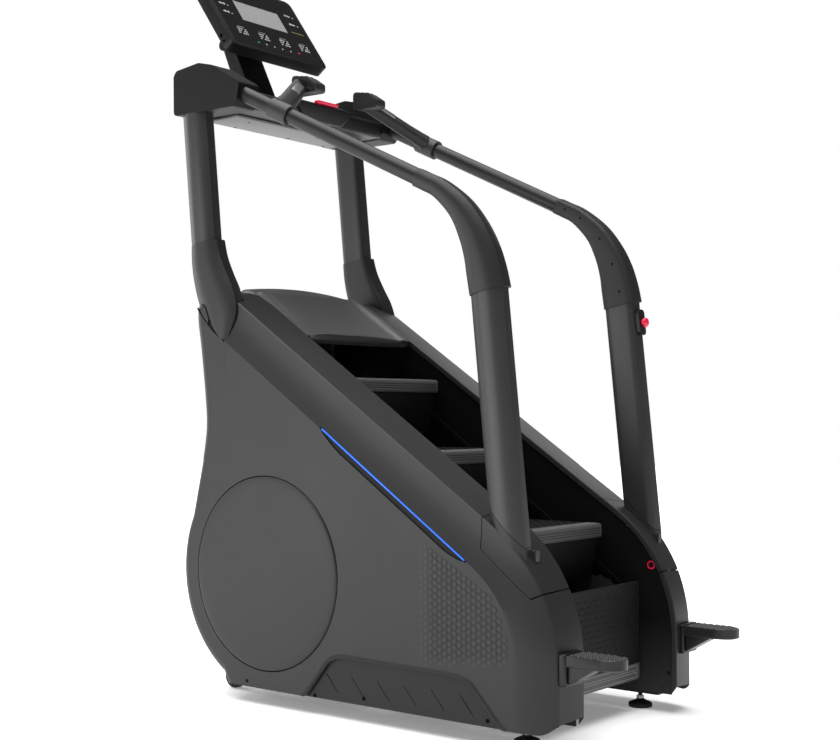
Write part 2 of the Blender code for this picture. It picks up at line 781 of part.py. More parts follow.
def arm_ring(centre, direction, wide, deep, count=16):
    across, up = arm_axes(direction)
    made = []
    for k in range(count):
        a = 2 * pi * k / count
        size = (abs(cos(a)) ** 3 + abs(sin(a)) ** 3) ** (-1 / 3)
        made.append(centre + across * (wide * cos(a) * size) + up * (deep * sin(a) * size))
    return made


def arm_strip(centre, direction, half_width, height):
    """A thin rectangle lying on the arm's face towards the user."""
    across, up = arm_axes(direction)
    low, high = height + 0.0003, height + 0.0018
    corners = ((-half_width, low), (half_width, low), (half_width, high), (-half_width, high))
    return [centre + across * x + up * z for x, z in corners]


# ---- Dash, mast and console ---------------------------------------------------------------
def build_dash():
    outline = rounded(((DASH_REAR, DASH_BOTTOM), (DASH_REAR, 1.690), (1.085, 1.704), (0.985, 1.690),
                       (0.905, DASH_TOP),
                       (0.896, 1.660), (0.905, DASH_BOTTOM)), 0.008, 2)
    tray = plate(outline, -(BOX_INNER_X - 0.0006), BOX_INNER_X - 0.0006)
    scoops = [box((s * 0.205 - 0.05, 0.925, 1.655), (s * 0.205 + 0.05, 1.055, 1.80), 0.018,
                  3) for s in (-1, 1)]
    nose = plate(((0.960, 1.630), (0.960, 1.694), (DASH_FRONT, DASH_TOP + 0.002),
                  (DASH_FRONT + 0.006, 1.624)),
                 -0.128, 0.128, 0.005, 2)
    tray = union(tray, nose)
    key_seat = box((-0.016, DASH_FRONT + 0.010, 1.6685), (0.016, DASH_FRONT + 0.028, 1.75))
    place("dash_tray", cut(tray, *scoops, key_seat), DARK)
    key = box((-0.045, DASH_FRONT - 0.010, 1.6772), (0.045, DASH_FRONT + 0.008, 1.6842), 0.003)
    stem = box((-0.012, DASH_FRONT + 0.004, 1.6772), (0.012, DASH_FRONT + 0.026, 1.6827), 0.001)
    lug = box((-0.010, DASH_FRONT + 0.013, 1.6705), (0.010, DASH_FRONT + 0.025, 1.6790))
    place("safety_key", union(key, stem, lug), RED,
          joint_empty("safety_key_joint", (0.0, DASH_FRONT, 1.678)))
    place("dash_bottom_plate", box((-0.262, 0.986, 1.6135), (0.262, 1.1115, DASH_BOTTOM - GAP), 0.003),
          PLATE)


def console_frame():
    """Maps (x, up the face, out of the face) to the machine."""
    up = Vector((0.0, cos(CONSOLE_TILT), sin(CONSOLE_TILT)))
    out = Vector((0.0, -sin(CONSOLE_TILT), cos(CONSOLE_TILT)))
    made = Matrix((Vector((1, 0, 0)), up, out)).transposed().to_4x4()
    made.translation = Vector((0.0, *CONSOLE_EDGE))
    return made


def slab(half_x, low, high, back, front, radius, bevel):
    """A rounded rectangle in the console's own plane."""
    corners = rounded(((-half_x, low), (half_x, low), (half_x, high), (-half_x, high)), radius, 4)
    mesh = plate(corners, back, front, bevel, 2)
    mesh.transform(UPRIGHT.inverted())
    return mesh


def build_console():
    frame = console_frame()
    hinge = frame @ Vector((0.0, *CONSOLE_HINGE))
    joint = joint_empty("console_tilt_joint", hinge)
    shell = slab(CONSOLE_HALF_X, 0.0, CONSOLE_HEIGHT, -CONSOLE_DEPTH, 0.0, 0.026, 0.007)
    hump = slab(0.098, 0.050, 0.240, -CONSOLE_DEPTH - 0.026, -0.020, 0.030, 0.0)
    up, out = CONSOLE_HINGE
    pin_line = [(x, up, out) for x in (-0.2, 0.2)]
    arms = []
    for side in (-1, 1):
        low, high = sorted((side * ARM_X, side * (ARM_X + 0.0150)))
        arm = plate(((up - 0.055, -0.050), (up + 0.060, -0.050), (up + 0.017, out - 0.004),
                     (up + 0.008, out - 0.016),
                     (up - 0.008, out - 0.016), (up - 0.017, out - 0.004)), low, high)
        arms += [arm, rod((low + 0.0005, up, out), (high - 0.0005, up, out), 0.0185, sides=24)]
    shell = union(shell, hump, *arms)
    shell = cut(shell, rod(*pin_line, 0.0062))
    shell = cut(shell, slab(0.186, 0.016, CONSOLE_HEIGHT - 0.016, -0.0022, 0.02, 0.016, 0.0))
    shell.transform(frame)
    place("console_shell", shell, BODY, joint)
    face = slab(0.1856, 0.0164, CONSOLE_HEIGHT - 0.0164, -0.0018, 0.0002, 0.0156, 0.0)
    face.transform(frame)
    place("console_face", face, GLOSS, joint, smooth=0)
    crown = []
    for degrees in (-5, 30, 65, 100, 135, 160):
        crown.append((hinge.y + 0.023 * cos(radians(degrees)), hinge.z + 0.023 * sin(radians(degrees))))
    mast = plate(((DASH_REAR + 0.0015, 1.640), (1.1535, 1.640), (1.1670, 1.665), *crown,
                  (DASH_REAR + 0.0065, 1.695),
                  (DASH_REAR + 0.0015, 1.685)), -MAST_HALF_X, MAST_HALF_X, 0.004, 2)
    pin = rod((-0.0745, hinge.y, hinge.z), (0.0745, hinge.y, hinge.z), 0.0058)
    beam = box((-BOX_INNER_X + 0.001, DASH_REAR + 0.0015, 1.632), (BOX_INNER_X - 0.001, 1.1525, 1.682),
               0.004)
    place("console_mast", union(mast, pin, beam), DARK)


# ---- Stop button, pegs, feet, wheels ------------------------------------------------------
STOP_Z = 1.021


def build_stop_button():
    y = lean(FRONT_POST_Y, FRONT_POST_Z, STOP_Z) - POST_HALF_Y
    corners = rounded(((-0.015, -0.035), (0.015, -0.035), (0.015, 0.035), (-0.015, 0.035)), 0.0145, 4)
    block = plate(corners, -0.0085, 0.004, 0.002, 1)
    place_at = (Matrix.Translation((FRONT_POST_X, y - 0.0006, STOP_Z)) @ Matrix.Rotation(POST_LEAN, 4,
                                                                                         "X").inverted()
                @ Matrix.Rotation(-pi / 2, 4, "Z") @ Matrix.Rotation(pi, 4, "Z"))
    block.transform(place_at)
    clear = mirrored(front_post_solid(0.0005))
    bore = rod((FRONT_POST_X, y - 0.05, STOP_Z), (FRONT_POST_X, y + 0.001, STOP_Z), 0.0085, sides=24)
    place("stop_housing", cut(block, clear, bore), BLACK)
    seat = Matrix.Translation((FRONT_POST_X, y - 0.0006, STOP_Z)) @ Matrix.Rotation(pi / 2, 4, "X")
    profile = [(0.0, 0.0050), (0.0080, 0.0050), (0.0080, 0.0130), (0.0125, 0.0135), (0.0125, 0.0195),
               (0.0100, 0.0222), (0.0055, 0.0237), (0.0, 0.0242)]
    joint = joint_empty("stop_button_joint", (FRONT_POST_X, y, STOP_Z))
    place("stop_button", turned(profile[::-1], 28, seat), RED, joint)


def build_pegs():
    face = FRONT_Y + 0.006
    bracket = box((-PEG_X - 0.042, face - 0.016, 0.155), (-PEG_X + 0.034, face - 0.0006, PEG_TOP), 0.004)
    skin_clear = front_wall_block()
    both_sides("peg_bracket", cut(bracket, skin_clear), BLACK)
    top = [(-0.036, 0.0), (-0.036, -0.085), (-0.030, -0.112), (-0.016, -0.130), (0.0, -0.134),
           (0.016, -0.130),
           (0.030, -0.112), (0.036, -0.085), (0.036, 0.0)]
    root = face - 0.0170
    rows = []
    for height, shrink in ((PEG_TOP, 1.0), (PEG_TOP - 0.026, 1.0)):
        rows.append([Vector((-PEG_X - 0.004 + x * shrink, root + y, height)) for x, y in top])
    slab_mesh = loft(rows)
    wedge = plate(((root, 0.160), (root, PEG_TOP - 0.02), (root - 0.085, PEG_TOP - 0.02),
                   (root - 0.075, 0.203)),
                  -PEG_X - 0.034, -PEG_X + 0.026)
    both_sides("footpeg", bevelled(union(slab_mesh, wedge), 0.003, 2, 50), PEG)


def front_wall_block():
    """The space taken by the front of a side cover, for trimming what is fixed to it."""
    rows = []
    for z in (0.10, 0.28):
        rows.append([Vector((-x, FRONT_Y + n - 0.0005, z)) for x, n in
                     ((0.20, 0.0), (INNER_X, 0.0), (FRONT_CREASE_X, STRIP_DROP), (0.36, 0.07),
                      (0.36, 0.12), (0.20, 0.12))])
    return loft(rows)


def build_feet():
    profile = [(0.0, 0.0), (FOOT_R - 0.001, 0.0), (FOOT_R, 0.002), (FOOT_R, 0.009),
               (FOOT_R - 0.002, 0.011),
               (0.012, 0.018), (0.0055, 0.020), (0.0055, 0.0405), (0.0, 0.0405)]
    foot = turned(profile[::-1], 32, Matrix.Translation((-FOOT_X, 0.0, 0.0)))
    both_sides("front_foot", foot, RUBBER)
    wheel = [(0.0050, -0.010), (0.012, -0.012), (WHEEL_R - 0.002, -0.012), (WHEEL_R, -0.009),
             (WHEEL_R, 0.009),
             (WHEEL_R - 0.002, 0.012), (0.012, 0.012), (0.0050, 0.010), (0.0050, -0.010)]
    for side, word in ((-1, "left"), (1, "right")):
        at = Vector((side * WHEEL_X, WHEEL_Y, WHEEL_R))
        joint = joint_empty(word + "_wheel_joint", at)
        across = Matrix.Translation(at) @ Matrix.Rotation(pi / 2, 4, "Y")
        place(word + "_wheel", turned(wheel[::-1], 32, across), RUBBER,
              joint)


# ---- Base frame ---------------------------------------------------------------------------
def build_base_frame():
    rail_x = (0.2365, 0.2765)
    pieces = []
    for side in (-1, 1):
        low, high = sorted((side * rail_x[0], side * rail_x[1]))
        pieces.append(box((low, -0.070, 0.042), (high, 0.890, 0.092)))
        beam_low, beam_high = sorted((side * 0.2365, side * 0.2615))
        for axle, foot_y in ((LOWER_AXLE, 0.14), (UPPER_AXLE, 0.80)):
            pieces.append(plate(((axle.y - 0.028, axle.z + 0.030), (axle.y + 0.028, axle.z + 0.030),
                                 (foot_y + 0.040, 0.080), (foot_y - 0.040, 0.080)), beam_low, beam_high))
        pieces.append(plate(band((LOWER_AXLE.y + 0.02, LOWER_AXLE.z), (UPPER_AXLE.y, UPPER_AXLE.z),
                                 0.020),
                            beam_low + 0.002, beam_high - 0.002))
        stub_low, stub_high = sorted((side * 0.2700, side * 0.3200))
        pieces.append(plate(((0.010, 0.060), (0.060, 0.060), (0.052, 0.430), (0.004, 0.430)), stub_low,
                            stub_high))
        pieces.append(plate(((0.830, 0.060), (0.885, 0.060), (0.975, 0.930), (0.935, 0.930)), stub_low,
                            stub_high))
        ear_low, ear_high = sorted((side * (WHEEL_X + 0.0135), side * (WHEEL_X + 0.0225)))
        pieces.append(plate(((0.800, 0.060), (0.890, 0.060), (0.902, 0.032), (0.985, 0.032),
                             (1.010, 0.050),
                             (1.036, 0.046), (1.036, 0.022), (1.000, 0.018), (0.870, 0.018),
                             (0.840, 0.045)),
                            ear_low, ear_high))
        pin_low, pin_high = sorted((side * (WHEEL_X - 0.0120), side * (WHEEL_X + 0.018)))
        pieces.append(rod((pin_low, WHEEL_Y, WHEEL_R), (pin_high, WHEEL_Y, WHEEL_R), 0.0046, sides=16))
    pieces += [box((-0.245, y - 0.020, 0.046), (0.245, y + 0.020, 0.086)) for y in CROSS_TUBES]
    frame = union(pieces[0], *pieces[1:])
    bores = []
    for axle in (LOWER_AXLE, UPPER_AXLE):
        bores.append(rod((-0.30, axle.y, axle.z), (0.30, axle.y, axle.z), SHAFT_R + 0.00015, sides=32))
    place("base_frame", cut(frame, *bores), PAINT)


# ---- Drive --------------------------------------------------------------------------------
def sprocket_outline(axle):
    teeth = 20
    made = []
    for k in range(teeth * 2):
        radius = SPROCKET_R - (0.0085 if k % 2 else 0.0145)
        a = pi * k / teeth
        made.append((axle.y + radius * cos(a), axle.z + radius * sin(a)))
    return made


def build_shafts():
    for name, axle in (("drive_shaft", UPPER_AXLE), ("idler_shaft", LOWER_AXLE)):
        reach = 0.2600 if name == "idler_shaft" else 0.3100
        shaft = rod((-reach, axle.y, axle.z), (0.2600, axle.y, axle.z), SHAFT_R, sides=32)
        discs = [plate(sprocket_outline(axle), x - 0.003, x + 0.003) for x in (-CHAIN_X, CHAIN_X)]
        extra = []
        if name == "drive_shaft":
            extra.append(rod((-0.3060, axle.y, axle.z), (-0.2900, axle.y, axle.z), 0.070, sides=40))
        place(name, union(shaft, *discs, *extra), STEEL, joint_empty(name + "_joint", axle))


def racetrack(first, second, radius, steps=12):
    """An oval round two equal wheels, as (y, z)."""
    along = atan2(second.z - first.z, second.y - first.y)
    made = []
    for centre, start in ((first, along + pi / 2), (second, along - pi / 2)):
        for k in range(steps + 1):
            a = start + pi * k / steps
            made.append((centre.y + radius * cos(a), centre.z + radius * sin(a)))
    return made


def build_chains():
    outer = plate(racetrack(LOWER_AXLE, UPPER_AXLE, SPROCKET_R + 0.0065), -CHAIN_X - 0.004,
                  -CHAIN_X + 0.004)
    inner = plate(racetrack(LOWER_AXLE, UPPER_AXLE, SPROCKET_R - 0.0065), -CHAIN_X - 0.02,
                  -CHAIN_X + 0.02)
    both_sides("chain", cut(outer, inner), STEEL)


FLYWHEEL_AT = (0.700, 0.330)


def build_flywheel():
    y, z = FLYWHEEL_AT
    disc = rod((-0.3060, y, z), (-0.2820, y, z), 0.150, sides=48)
    hub = rod((-0.3120, y, z), (-0.2650, y, z), 0.016, sides=24)
    pulley = rod((-0.3115, y, z), (-0.3000, y, z), 0.035, sides=32)
    place("flywheel", union(disc, hub, pulley), STEEL, joint_empty("flywheel_joint", (0.0, y, z)))
    bracket = plate(((y - 0.06, 0.0930), (y + 0.06, 0.0930), (y + 0.024, z + 0.030),
                     (y - 0.024, z + 0.030)), -0.2770,
                    -0.2670)
    bore = rod((-0.32, y, z), (-0.20, y, z), 0.0163, sides=32)
    unit = box((-0.3060, y - 0.040, 0.0960), (-0.2680, y + 0.040, 0.1700))
    clear = rod((-0.3075, y, z), (-0.2800, y, z), 0.152, sides=48)
    place("brake_unit", cut(union(bracket, unit), bore, clear), PAINT)


# ---- Steps --------------------------------------------------------------------------------
def step_mesh():
    """One step with its nose at the origin: tread, skirt and riser, end brackets and chain pin."""
    outline = ((0.010, 0.0), (TREAD_DEPTH, 0.0), (TREAD_DEPTH, -0.010), (0.240, -0.013), (0.030, -0.013),
               (0.020, -0.036), (0.0405, -0.148), (0.0385, -0.151), (0.0350, -0.151), (0.0130, -0.040),
               (0.004, -0.036),
               (0.000, -0.030), (0.000, -0.009), (0.0025, -0.0028))
    mesh = plate(outline, -STEP_HALF_WIDTH, STEP_HALF_WIDTH)
    others = []
    for side in (-1, 1):
        low, high = sorted((side * 0.1860, side * 0.1980))
        others.append(plate(((0.060, -0.008), (0.150, -0.008), (0.118, -0.066), (0.086, -0.066)), low,
                            high))
    others.append(rod((-0.2105, PIN_BACK, -PIN_DOWN), (0.2105, PIN_BACK, -PIN_DOWN), 0.007, sides=12))
    return union(mesh, *others)


def chain_place(travel):
    """Pin position (y, z) and turn of a step, travel metres of chain past the upper sprocket's top."""
    down = Vector((-cos(CHAIN_ANGLE), -sin(CHAIN_ANGLE)))
    out = Vector((-sin(CHAIN_ANGLE), cos(CHAIN_ANGLE)))
    upper, lower = UPPER_AXLE.yz, LOWER_AXLE.yz
    if travel <= CHAIN_SPAN:
        return upper + out * SPROCKET_R + down * travel, 0.0
    travel -= CHAIN_SPAN
    if travel <= PITCH:
        turn = travel / SPROCKET_R
        return lower + Matrix.Rotation(turn, 2) @ out * SPROCKET_R, turn
    travel -= PITCH
    return lower - out * SPROCKET_R - down * travel, pi


def build_steps():
    mesh = step_mesh()
    upper_run = joint_empty("upper_run_joint", (0.0, *chain_place(PITCH)[0]))
    return_run = joint_empty("return_run_joint", (0.0, *chain_place(4 * PITCH)[0]))
    lower_turn = joint_empty("lower_turn_joint", LOWER_AXLE)
    upper_turn = joint_empty("upper_turn_joint", UPPER_AXLE)
    parents = (upper_run, upper_run, upper_run, lower_turn, return_run, return_run, upper_turn)
    for i, parent in enumerate(parents):
        pin, turn = chain_place(i * PITCH)
        data = mesh.copy()
        data.transform(Matrix.Translation((0.0, *pin)) @ Matrix.Rotation(turn, 4, "X")
                       @ Matrix.Translation((0.0, -PIN_BACK, PIN_DOWN)))
        place("step_%d" % (i + 1), data, TREAD, parent)
    bpy.data.meshes.remove(mesh)


clear_scene()
PART = new_collection(COLLECTION)
CUTTERS = new_collection("cutters")
CUTTERS.hide_render = True
BODY = material("charcoal_plastic", (0.085, 0.085, 0.088), 0.55)
DARK = material("dark_plastic", (0.045, 0.045, 0.047), 0.55)
BLACK = material("black_plastic", (0.018, 0.018, 0.019), 0.5)
INNER = material("inner_wall", (0.03, 0.03, 0.031), 0.6)
PAINT = material("powder_coat", (0.07, 0.07, 0.072), 0.5, 0.3)
RAIL = material("rail_paint", (0.10, 0.10, 0.103), 0.38, 0.5)
STEEL = material("steel", (0.55, 0.56, 0.57), 0.35, 1.0)
PLATE = material("grey_plate", (0.36, 0.36, 0.37), 0.6)
TREAD = material("tread_plastic", (0.10, 0.10, 0.10), 0.7)
PEG = material("cast_peg", (0.20, 0.20, 0.205), 0.45, 0.4)
GRIP = material("grip_plastic", (0.06, 0.06, 0.062), 0.6)
GLOSS = material("console_glass", (0.03, 0.03, 0.032), 0.2)
RUBBER = material("rubber", (0.02, 0.02, 0.02), 0.8)
RED = material("red_plastic", (0.75, 0.01, 0.06), 0.4)
BLUE = material("blue_light", (0.05, 0.25, 1.0), 0.4, glow=3.0)

ROOT = bpy.data.objects.new("stair_climber_root", None)
PART.objects.link(ROOT)
ROOT.location = (0.0, -ORIGIN_Y, 0.0)
bpy.context.view_layer.update()

build_base_frame()
build_shafts()
build_chains()
build_flywheel()
build_steps()
build_inner_panels()
build_side_covers()
build_disc_covers()
build_led_strips()
build_hood()
build_rear_cover()
build_posts()
build_rails()
build_grips()
build_dash()
build_console()
build_stop_button()
build_pegs()
build_feet()
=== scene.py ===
"""Looks of the stair climber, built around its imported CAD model.

Lengths are in metres from the front feet (Y = 0) and the floor (Z = 0); piece() moves them to the row frame.
Left is -X. Meshes of paired pieces are the left ones, and pair() mirrors them.
"""
from math import atan2, cos, hypot, pi, radians, sin
import bmesh
import bpy
from mathutils import Matrix, Vector


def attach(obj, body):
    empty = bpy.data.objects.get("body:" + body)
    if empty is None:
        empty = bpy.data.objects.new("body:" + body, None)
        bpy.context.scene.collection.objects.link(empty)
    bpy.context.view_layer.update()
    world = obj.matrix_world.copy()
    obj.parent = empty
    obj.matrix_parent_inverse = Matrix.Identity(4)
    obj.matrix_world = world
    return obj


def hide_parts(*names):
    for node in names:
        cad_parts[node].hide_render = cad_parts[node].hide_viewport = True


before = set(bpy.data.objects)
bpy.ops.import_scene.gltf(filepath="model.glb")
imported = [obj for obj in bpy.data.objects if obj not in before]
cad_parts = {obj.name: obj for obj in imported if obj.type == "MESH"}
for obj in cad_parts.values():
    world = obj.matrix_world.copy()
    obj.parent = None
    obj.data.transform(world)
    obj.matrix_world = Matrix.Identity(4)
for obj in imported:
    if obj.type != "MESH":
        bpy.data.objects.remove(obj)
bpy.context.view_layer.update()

ORIGIN_Y = 0.49608
INCLINE = radians(33.62)
FRONT_Y, FRONT_ARC_R, FRONT_ARC_Z = -0.131, 0.38, 0.2
COVER_BOTTOM, COVER_BOTTOM_RISE = 0.034, 0.011
REAR_CURVE = ((0.965, 1.114), (1.018, 1.108), (1.05, 1.082), (1.057, 1.04), (1.043, 0.95),
              (1.026, 0.82), (1.021, 0.735), (1.036, 0.64))
DISC = Vector((0.776, 0.351))
DISC_R, BULGE_R = 0.258, 0.328
INNER_X, SIDE_X, SKIN, LIP = 0.2235, 0.358, 0.0016, 0.014
# Crease x, drop and shoulder reach of a cover's section, then the shoulder's control point
FRONT_SHAPE = (0.316, 0.0105, 0.103, 0.35, 0.035)
TOP_SHAPE = (0.338, 0.0105, 0.115, 0.333, 0.058)
REAR_SHAPE = (0.328, 0.0, 0.03, 0.355, 0.002)
POST_LEAN = 0.104
POST_DIRECTION = Vector((POST_LEAN, 1.0)).normalized()
POST_HALF_X, POST_HALF_Y = 0.027, 0.048
FRONT_POST = (0.312, 0.0215, 0.549)      # x, then y at z
REAR_POST = (0.3245, 1.0445, 1.252)
RAIL_X = 0.319
RAIL_LOW, RAIL_HIGH = Vector((0.284, 1.3605)), Vector((0.93, 1.6695))
RAIL_HALF_X, RAIL_HALF_Z = 0.0185, 0.0215
UPRIGHT = Matrix(((0, 0, 1), (1, 0, 0), (0, 1, 0))).to_4x4()   # outline (y, z), thickness along X


# ---- Camera, light and floor --------------------------------------------------------------
def build_camera():
    lens = bpy.data.cameras.new("camera")
    lens.lens = 59.958
    lens.sensor_width = 36.0
    camera = bpy.data.objects.new("camera", lens)
    camera.location = (-3.0191, -1.8679 - ORIGIN_Y, 0.7865)
    camera.rotation_euler = (radians(91.609), 0.0, radians(-51.49))
    bpy.context.scene.collection.objects.link(camera)
    bpy.context.scene.camera = camera


def softbox(name, at, aim, size, power):
    light = bpy.data.lights.new(name, "AREA")
    light.shape = "SQUARE"
    light.size = size
    light.energy = power
    lamp = bpy.data.objects.new(name, light)
    lamp.location = at
    lamp.rotation_euler = (Vector(aim) - Vector(at)).to_track_quat("-Z", "Y").to_euler()
    bpy.context.scene.collection.objects.link(lamp)


def build_world():
    world = bpy.data.worlds.new("studio")
    world.use_nodes = True
    nodes, links = world.node_tree.nodes, world.node_tree.links
    fill = nodes["Background"]
    fill.inputs["Color"].default_value = (1.0, 1.0, 1.0, 1.0)
    fill.inputs["Strength"].default_value = 0.1
    backdrop = nodes.new("ShaderNodeBackground")
    backdrop.inputs["Color"].default_value = (1.0, 1.0, 1.0, 1.0)
    backdrop.inputs["Strength"].default_value = 1.0
    path = nodes.new("ShaderNodeLightPath")
    mix = nodes.new("ShaderNodeMixShader")
    links.new(path.outputs["Is Camera Ray"], mix.inputs[0])
    links.new(fill.outputs[0], mix.inputs[1])
    links.new(backdrop.outputs[0], mix.inputs[2])
    links.new(mix.outputs[0], nodes["World Output"].inputs[0])
    bpy.context.scene.world = world
    bpy.context.scene.view_settings.view_transform = "Standard"


build_camera()
build_world()
softbox("key", (-3.3, 2.1, 1.0), (0.0, 0.05, 0.8), 2.0, 45.0)
sky = bpy.data.lights.new("sky", "SUN")
sky.energy = 5.0
sky.angle = radians(70)
sky_lamp = bpy.data.objects.new("sky", sky)
sky_lamp.rotation_euler = (radians(-6), radians(-8), 0.0)
bpy.context.scene.collection.objects.link(sky_lamp)
softbox("right_fill", (4.0, 1.5, 1.8), (0.0, 0.0, 0.9), 2.6, 26.0)
softbox("back_fill", (-0.6, 4.5, 2.0), (0.0, 0.0, 0.9), 2.6, 50.0)


# ---- Materials ----------------------------------------------------------------------------
def linear(level):
    level = level / 255
    return level / 12.92 if level <= 0.04045 else ((level + 0.055) / 1.055) ** 2.4


def shade(colour, factor=1.0):
    if not isinstance(colour, tuple):
        colour = (colour, colour, colour)
    return (*[linear(c) * factor for c in colour], 1.0)


def finish(name, colour, rough=0.5, metal=0.0, grain=0.1, scale=1400.0, spread=0.06, specular=0.5,
           glow=0.0, fade=None):
    """A moulded or painted surface: speckled colour, uneven roughness and a fine grain.
    fade is (z low, z high, colour low): painted shade, the colour runs from that one, low down, to the given
    one."""
    made = bpy.data.materials.new(name)
    made.use_nodes = True
    nodes, links = made.node_tree.nodes, made.node_tree.links
    shader = nodes["Principled BSDF"]
    shader.inputs["Metallic"].default_value = metal
    shader.inputs["Specular IOR Level"].default_value = specular
    where = nodes.new("ShaderNodeTexCoord")
    fine = nodes.new("ShaderNodeTexNoise")
    fine.inputs["Scale"].default_value = scale
    fine.inputs["Detail"].default_value = 2.0
    broad = nodes.new("ShaderNodeTexNoise")
    broad.inputs["Scale"].default_value = 6.0
    for texture in (fine, broad):
        links.new(where.outputs["Object"], texture.inputs["Vector"])
    mix = nodes.new("ShaderNodeMix")
    mix.data_type = "RGBA"
    mix.inputs[6].default_value = shade(colour, 1 - spread)
    mix.inputs[7].default_value = shade(colour, 1 + spread)
    links.new(fine.outputs["Fac"], mix.inputs[0])
    result = mix.outputs[2]
    # Painted shade: the colour changes with height.
    if fade:
        split = nodes.new("ShaderNodeSeparateXYZ")
        ramp = nodes.new("ShaderNodeMapRange")
        ramp.inputs["From Min"].default_value = fade[0]
        ramp.inputs["From Max"].default_value = fade[1]
        over = nodes.new("ShaderNodeMix")
        over.data_type = "RGBA"
        over.inputs[6].default_value = shade(fade[2])
        links.new(where.outputs["Object"], split.inputs[0])
        links.new(split.outputs["Z"], ramp.inputs["Value"])
        links.new(ramp.outputs[0], over.inputs[0])
        links.new(result, over.inputs[7])
        result = over.outputs[2]
    links.new(result, shader.inputs["Base Color"])
    sheen = nodes.new("ShaderNodeMapRange")
    sheen.inputs["To Min"].default_value = max(rough - 0.04, 0.02)
    sheen.inputs["To Max"].default_value = rough + 0.04
    links.new(broad.outputs["Fac"], sheen.inputs["Value"])
    links.new(sheen.outputs[0], shader.inputs["Roughness"])
    bump = nodes.new("ShaderNodeBump")
    bump.inputs["Strength"].default_value = grain
    bump.inputs["Distance"].default_value = 0.0004
    links.new(fine.outputs["Fac"], bump.inputs["Height"])
    links.new(bump.outputs[0], shader.inputs["Normal"])
    if glow:
        shader.inputs["Emission Color"].default_value = shade(colour)
        shader.inputs["Emission Strength"].default_value = glow
    return made


SHELL = finish("charcoal_shell", 39, 0.42, specular=0.27)
# A lighter copy of the shell's charcoal for the hood: painted light on its top.
HOOD = finish("charcoal_hood_painted_light", 76, 0.42, specular=0.5)
# A darker copy of the shell's charcoal for the low recess: painted shade.
RECESS_SHADE = finish("charcoal_recess_painted_shade", 26, 0.5, specular=0.25)
# A lighter copy of the shell's charcoal for the hex domes: painted light on them.
LIT_RELIEF = finish("charcoal_relief_painted_light", 43, 0.5, specular=0.35)
SLEEVE = finish("charcoal_sleeve", 32, 0.46, specular=0.32)
CORNER = finish("charcoal_corner", 9, 0.55, specular=0.22)
# A darker copy for rings round the hex domes: painted shade between them.
GAP_SHADE = finish("charcoal_gap_shade", 32, 0.6, specular=0.2)
# A dark bed for the recess under the light strip: painted shade in that recess.
BED_SHADE = finish("light_bed_shade", 20, 0.6, specular=0.2)
PAINT = finish("post_paint", 43, 0.4, 0.2, grain=0.05)
RAIL = finish("rail_paint", 30, 0.42, 0.12, grain=0.05, specular=0.3)
DARK = finish("dark_plastic", 9, 0.46, specular=0.28)
BLACK = finish("black_plastic", 12, 0.4, specular=0.35)
SEAM = finish("seam_shadow", 7, 0.9, specular=0.1)
# Painted shade on the inner walls: darker higher up, lighter low down.
SHADED_WALL = finish("inner_wall", 8, 0.6, specular=0.15, fade=(0.05, 0.24, 44))
NOSE = finish("nosing_plastic", 74, 0.5, specular=0.3)
FRAME_PAINT = finish("frame_paint", 13, 0.5, specular=0.25)
CHAIN_STEEL = finish("oiled_chain", 16, 0.4, 0.5)
TREAD = finish("tread_plastic", 14, 0.62, specular=0.2)
# A lighter copy of the tread plastic for the crescents: painted highlight on them.
CRESCENT_HIGHLIGHT = finish("tread_relief", 20, 0.6, specular=0.2)
RISER = finish("riser_plastic", 11, 0.62, specular=0.2)
LINE = finish("nosing_line", 128, 0.5)
STEEL = finish("steel", 150, 0.34, 0.9, grain=0.04)
SILVER = finish("pulse_steel", 176, 0.3, 0.85, grain=0.03)
GREY = finish("grey_plate", 100, 0.55)
PALE = finish("pale_grey", 128, 0.5)
PEG_TOP_FINISH = finish("cast_peg", 28, 0.42, 0.3)
GRIP = finish("grip_plastic", 32, 0.5, specular=0.4)
RUBBER = finish("rubber", 22, 0.75)
RED = finish("red_plastic", (226, 24, 66), 0.35, grain=0.03)
BLUE = finish("blue_light", (20, 96, 232), 0.35, glow=0.62)
GREEN = finish("green_mark", (30, 150, 90), 0.5)
YELLOW = finish("yellow_mark", (150, 140, 90), 0.5)
GLASS = finish("console_glass", 22, 0.25, grain=0.0, specular=0.3)
SCREEN = finish("lcd_screen", 172, 0.35, grain=0.0)
PRINT = finish("console_print", 188, 0.5)


# ---- Mesh helpers -------------------------------------------------------------------------
def scratch(data):
    obj = bpy.data.objects.new("scratch", data)
    bpy.context.scene.collection.objects.link(obj)
    return obj


def as_mesh(obj):
    """The evaluated mesh of an object, welded; the object goes."""
    bpy.context.view_layer.update()
    graph = bpy.context.evaluated_depsgraph_get()
    mesh = bpy.data.meshes.new_from_object(obj.evaluated_get(graph))
    bm = bmesh.new()
    bm.from_mesh(mesh)
    bmesh.ops.remove_doubles(bm, verts=bm.verts, dist=0.000005)
    bmesh.ops.recalc_face_normals(bm, faces=bm.faces)
    bm.to_mesh(mesh)
    bm.free()
    bpy.data.objects.remove(obj)
    return mesh


def finish_mesh(bm):
    bmesh.ops.recalc_face_normals(bm, faces=bm.faces)
    mesh = bpy.data.meshes.new("piece")
    bm.to_mesh(mesh)
    bm.free()
    return mesh


def bevelled(mesh, width, segments=3, angle=40):
    if not width:
        return mesh
    obj = scratch(mesh)
    bevel = obj.modifiers.new("edges", "BEVEL")
    bevel.width = width
    bevel.segments = segments
    bevel.limit_method = "ANGLE"
    bevel.angle_limit = radians(angle)
    return as_mesh(obj)


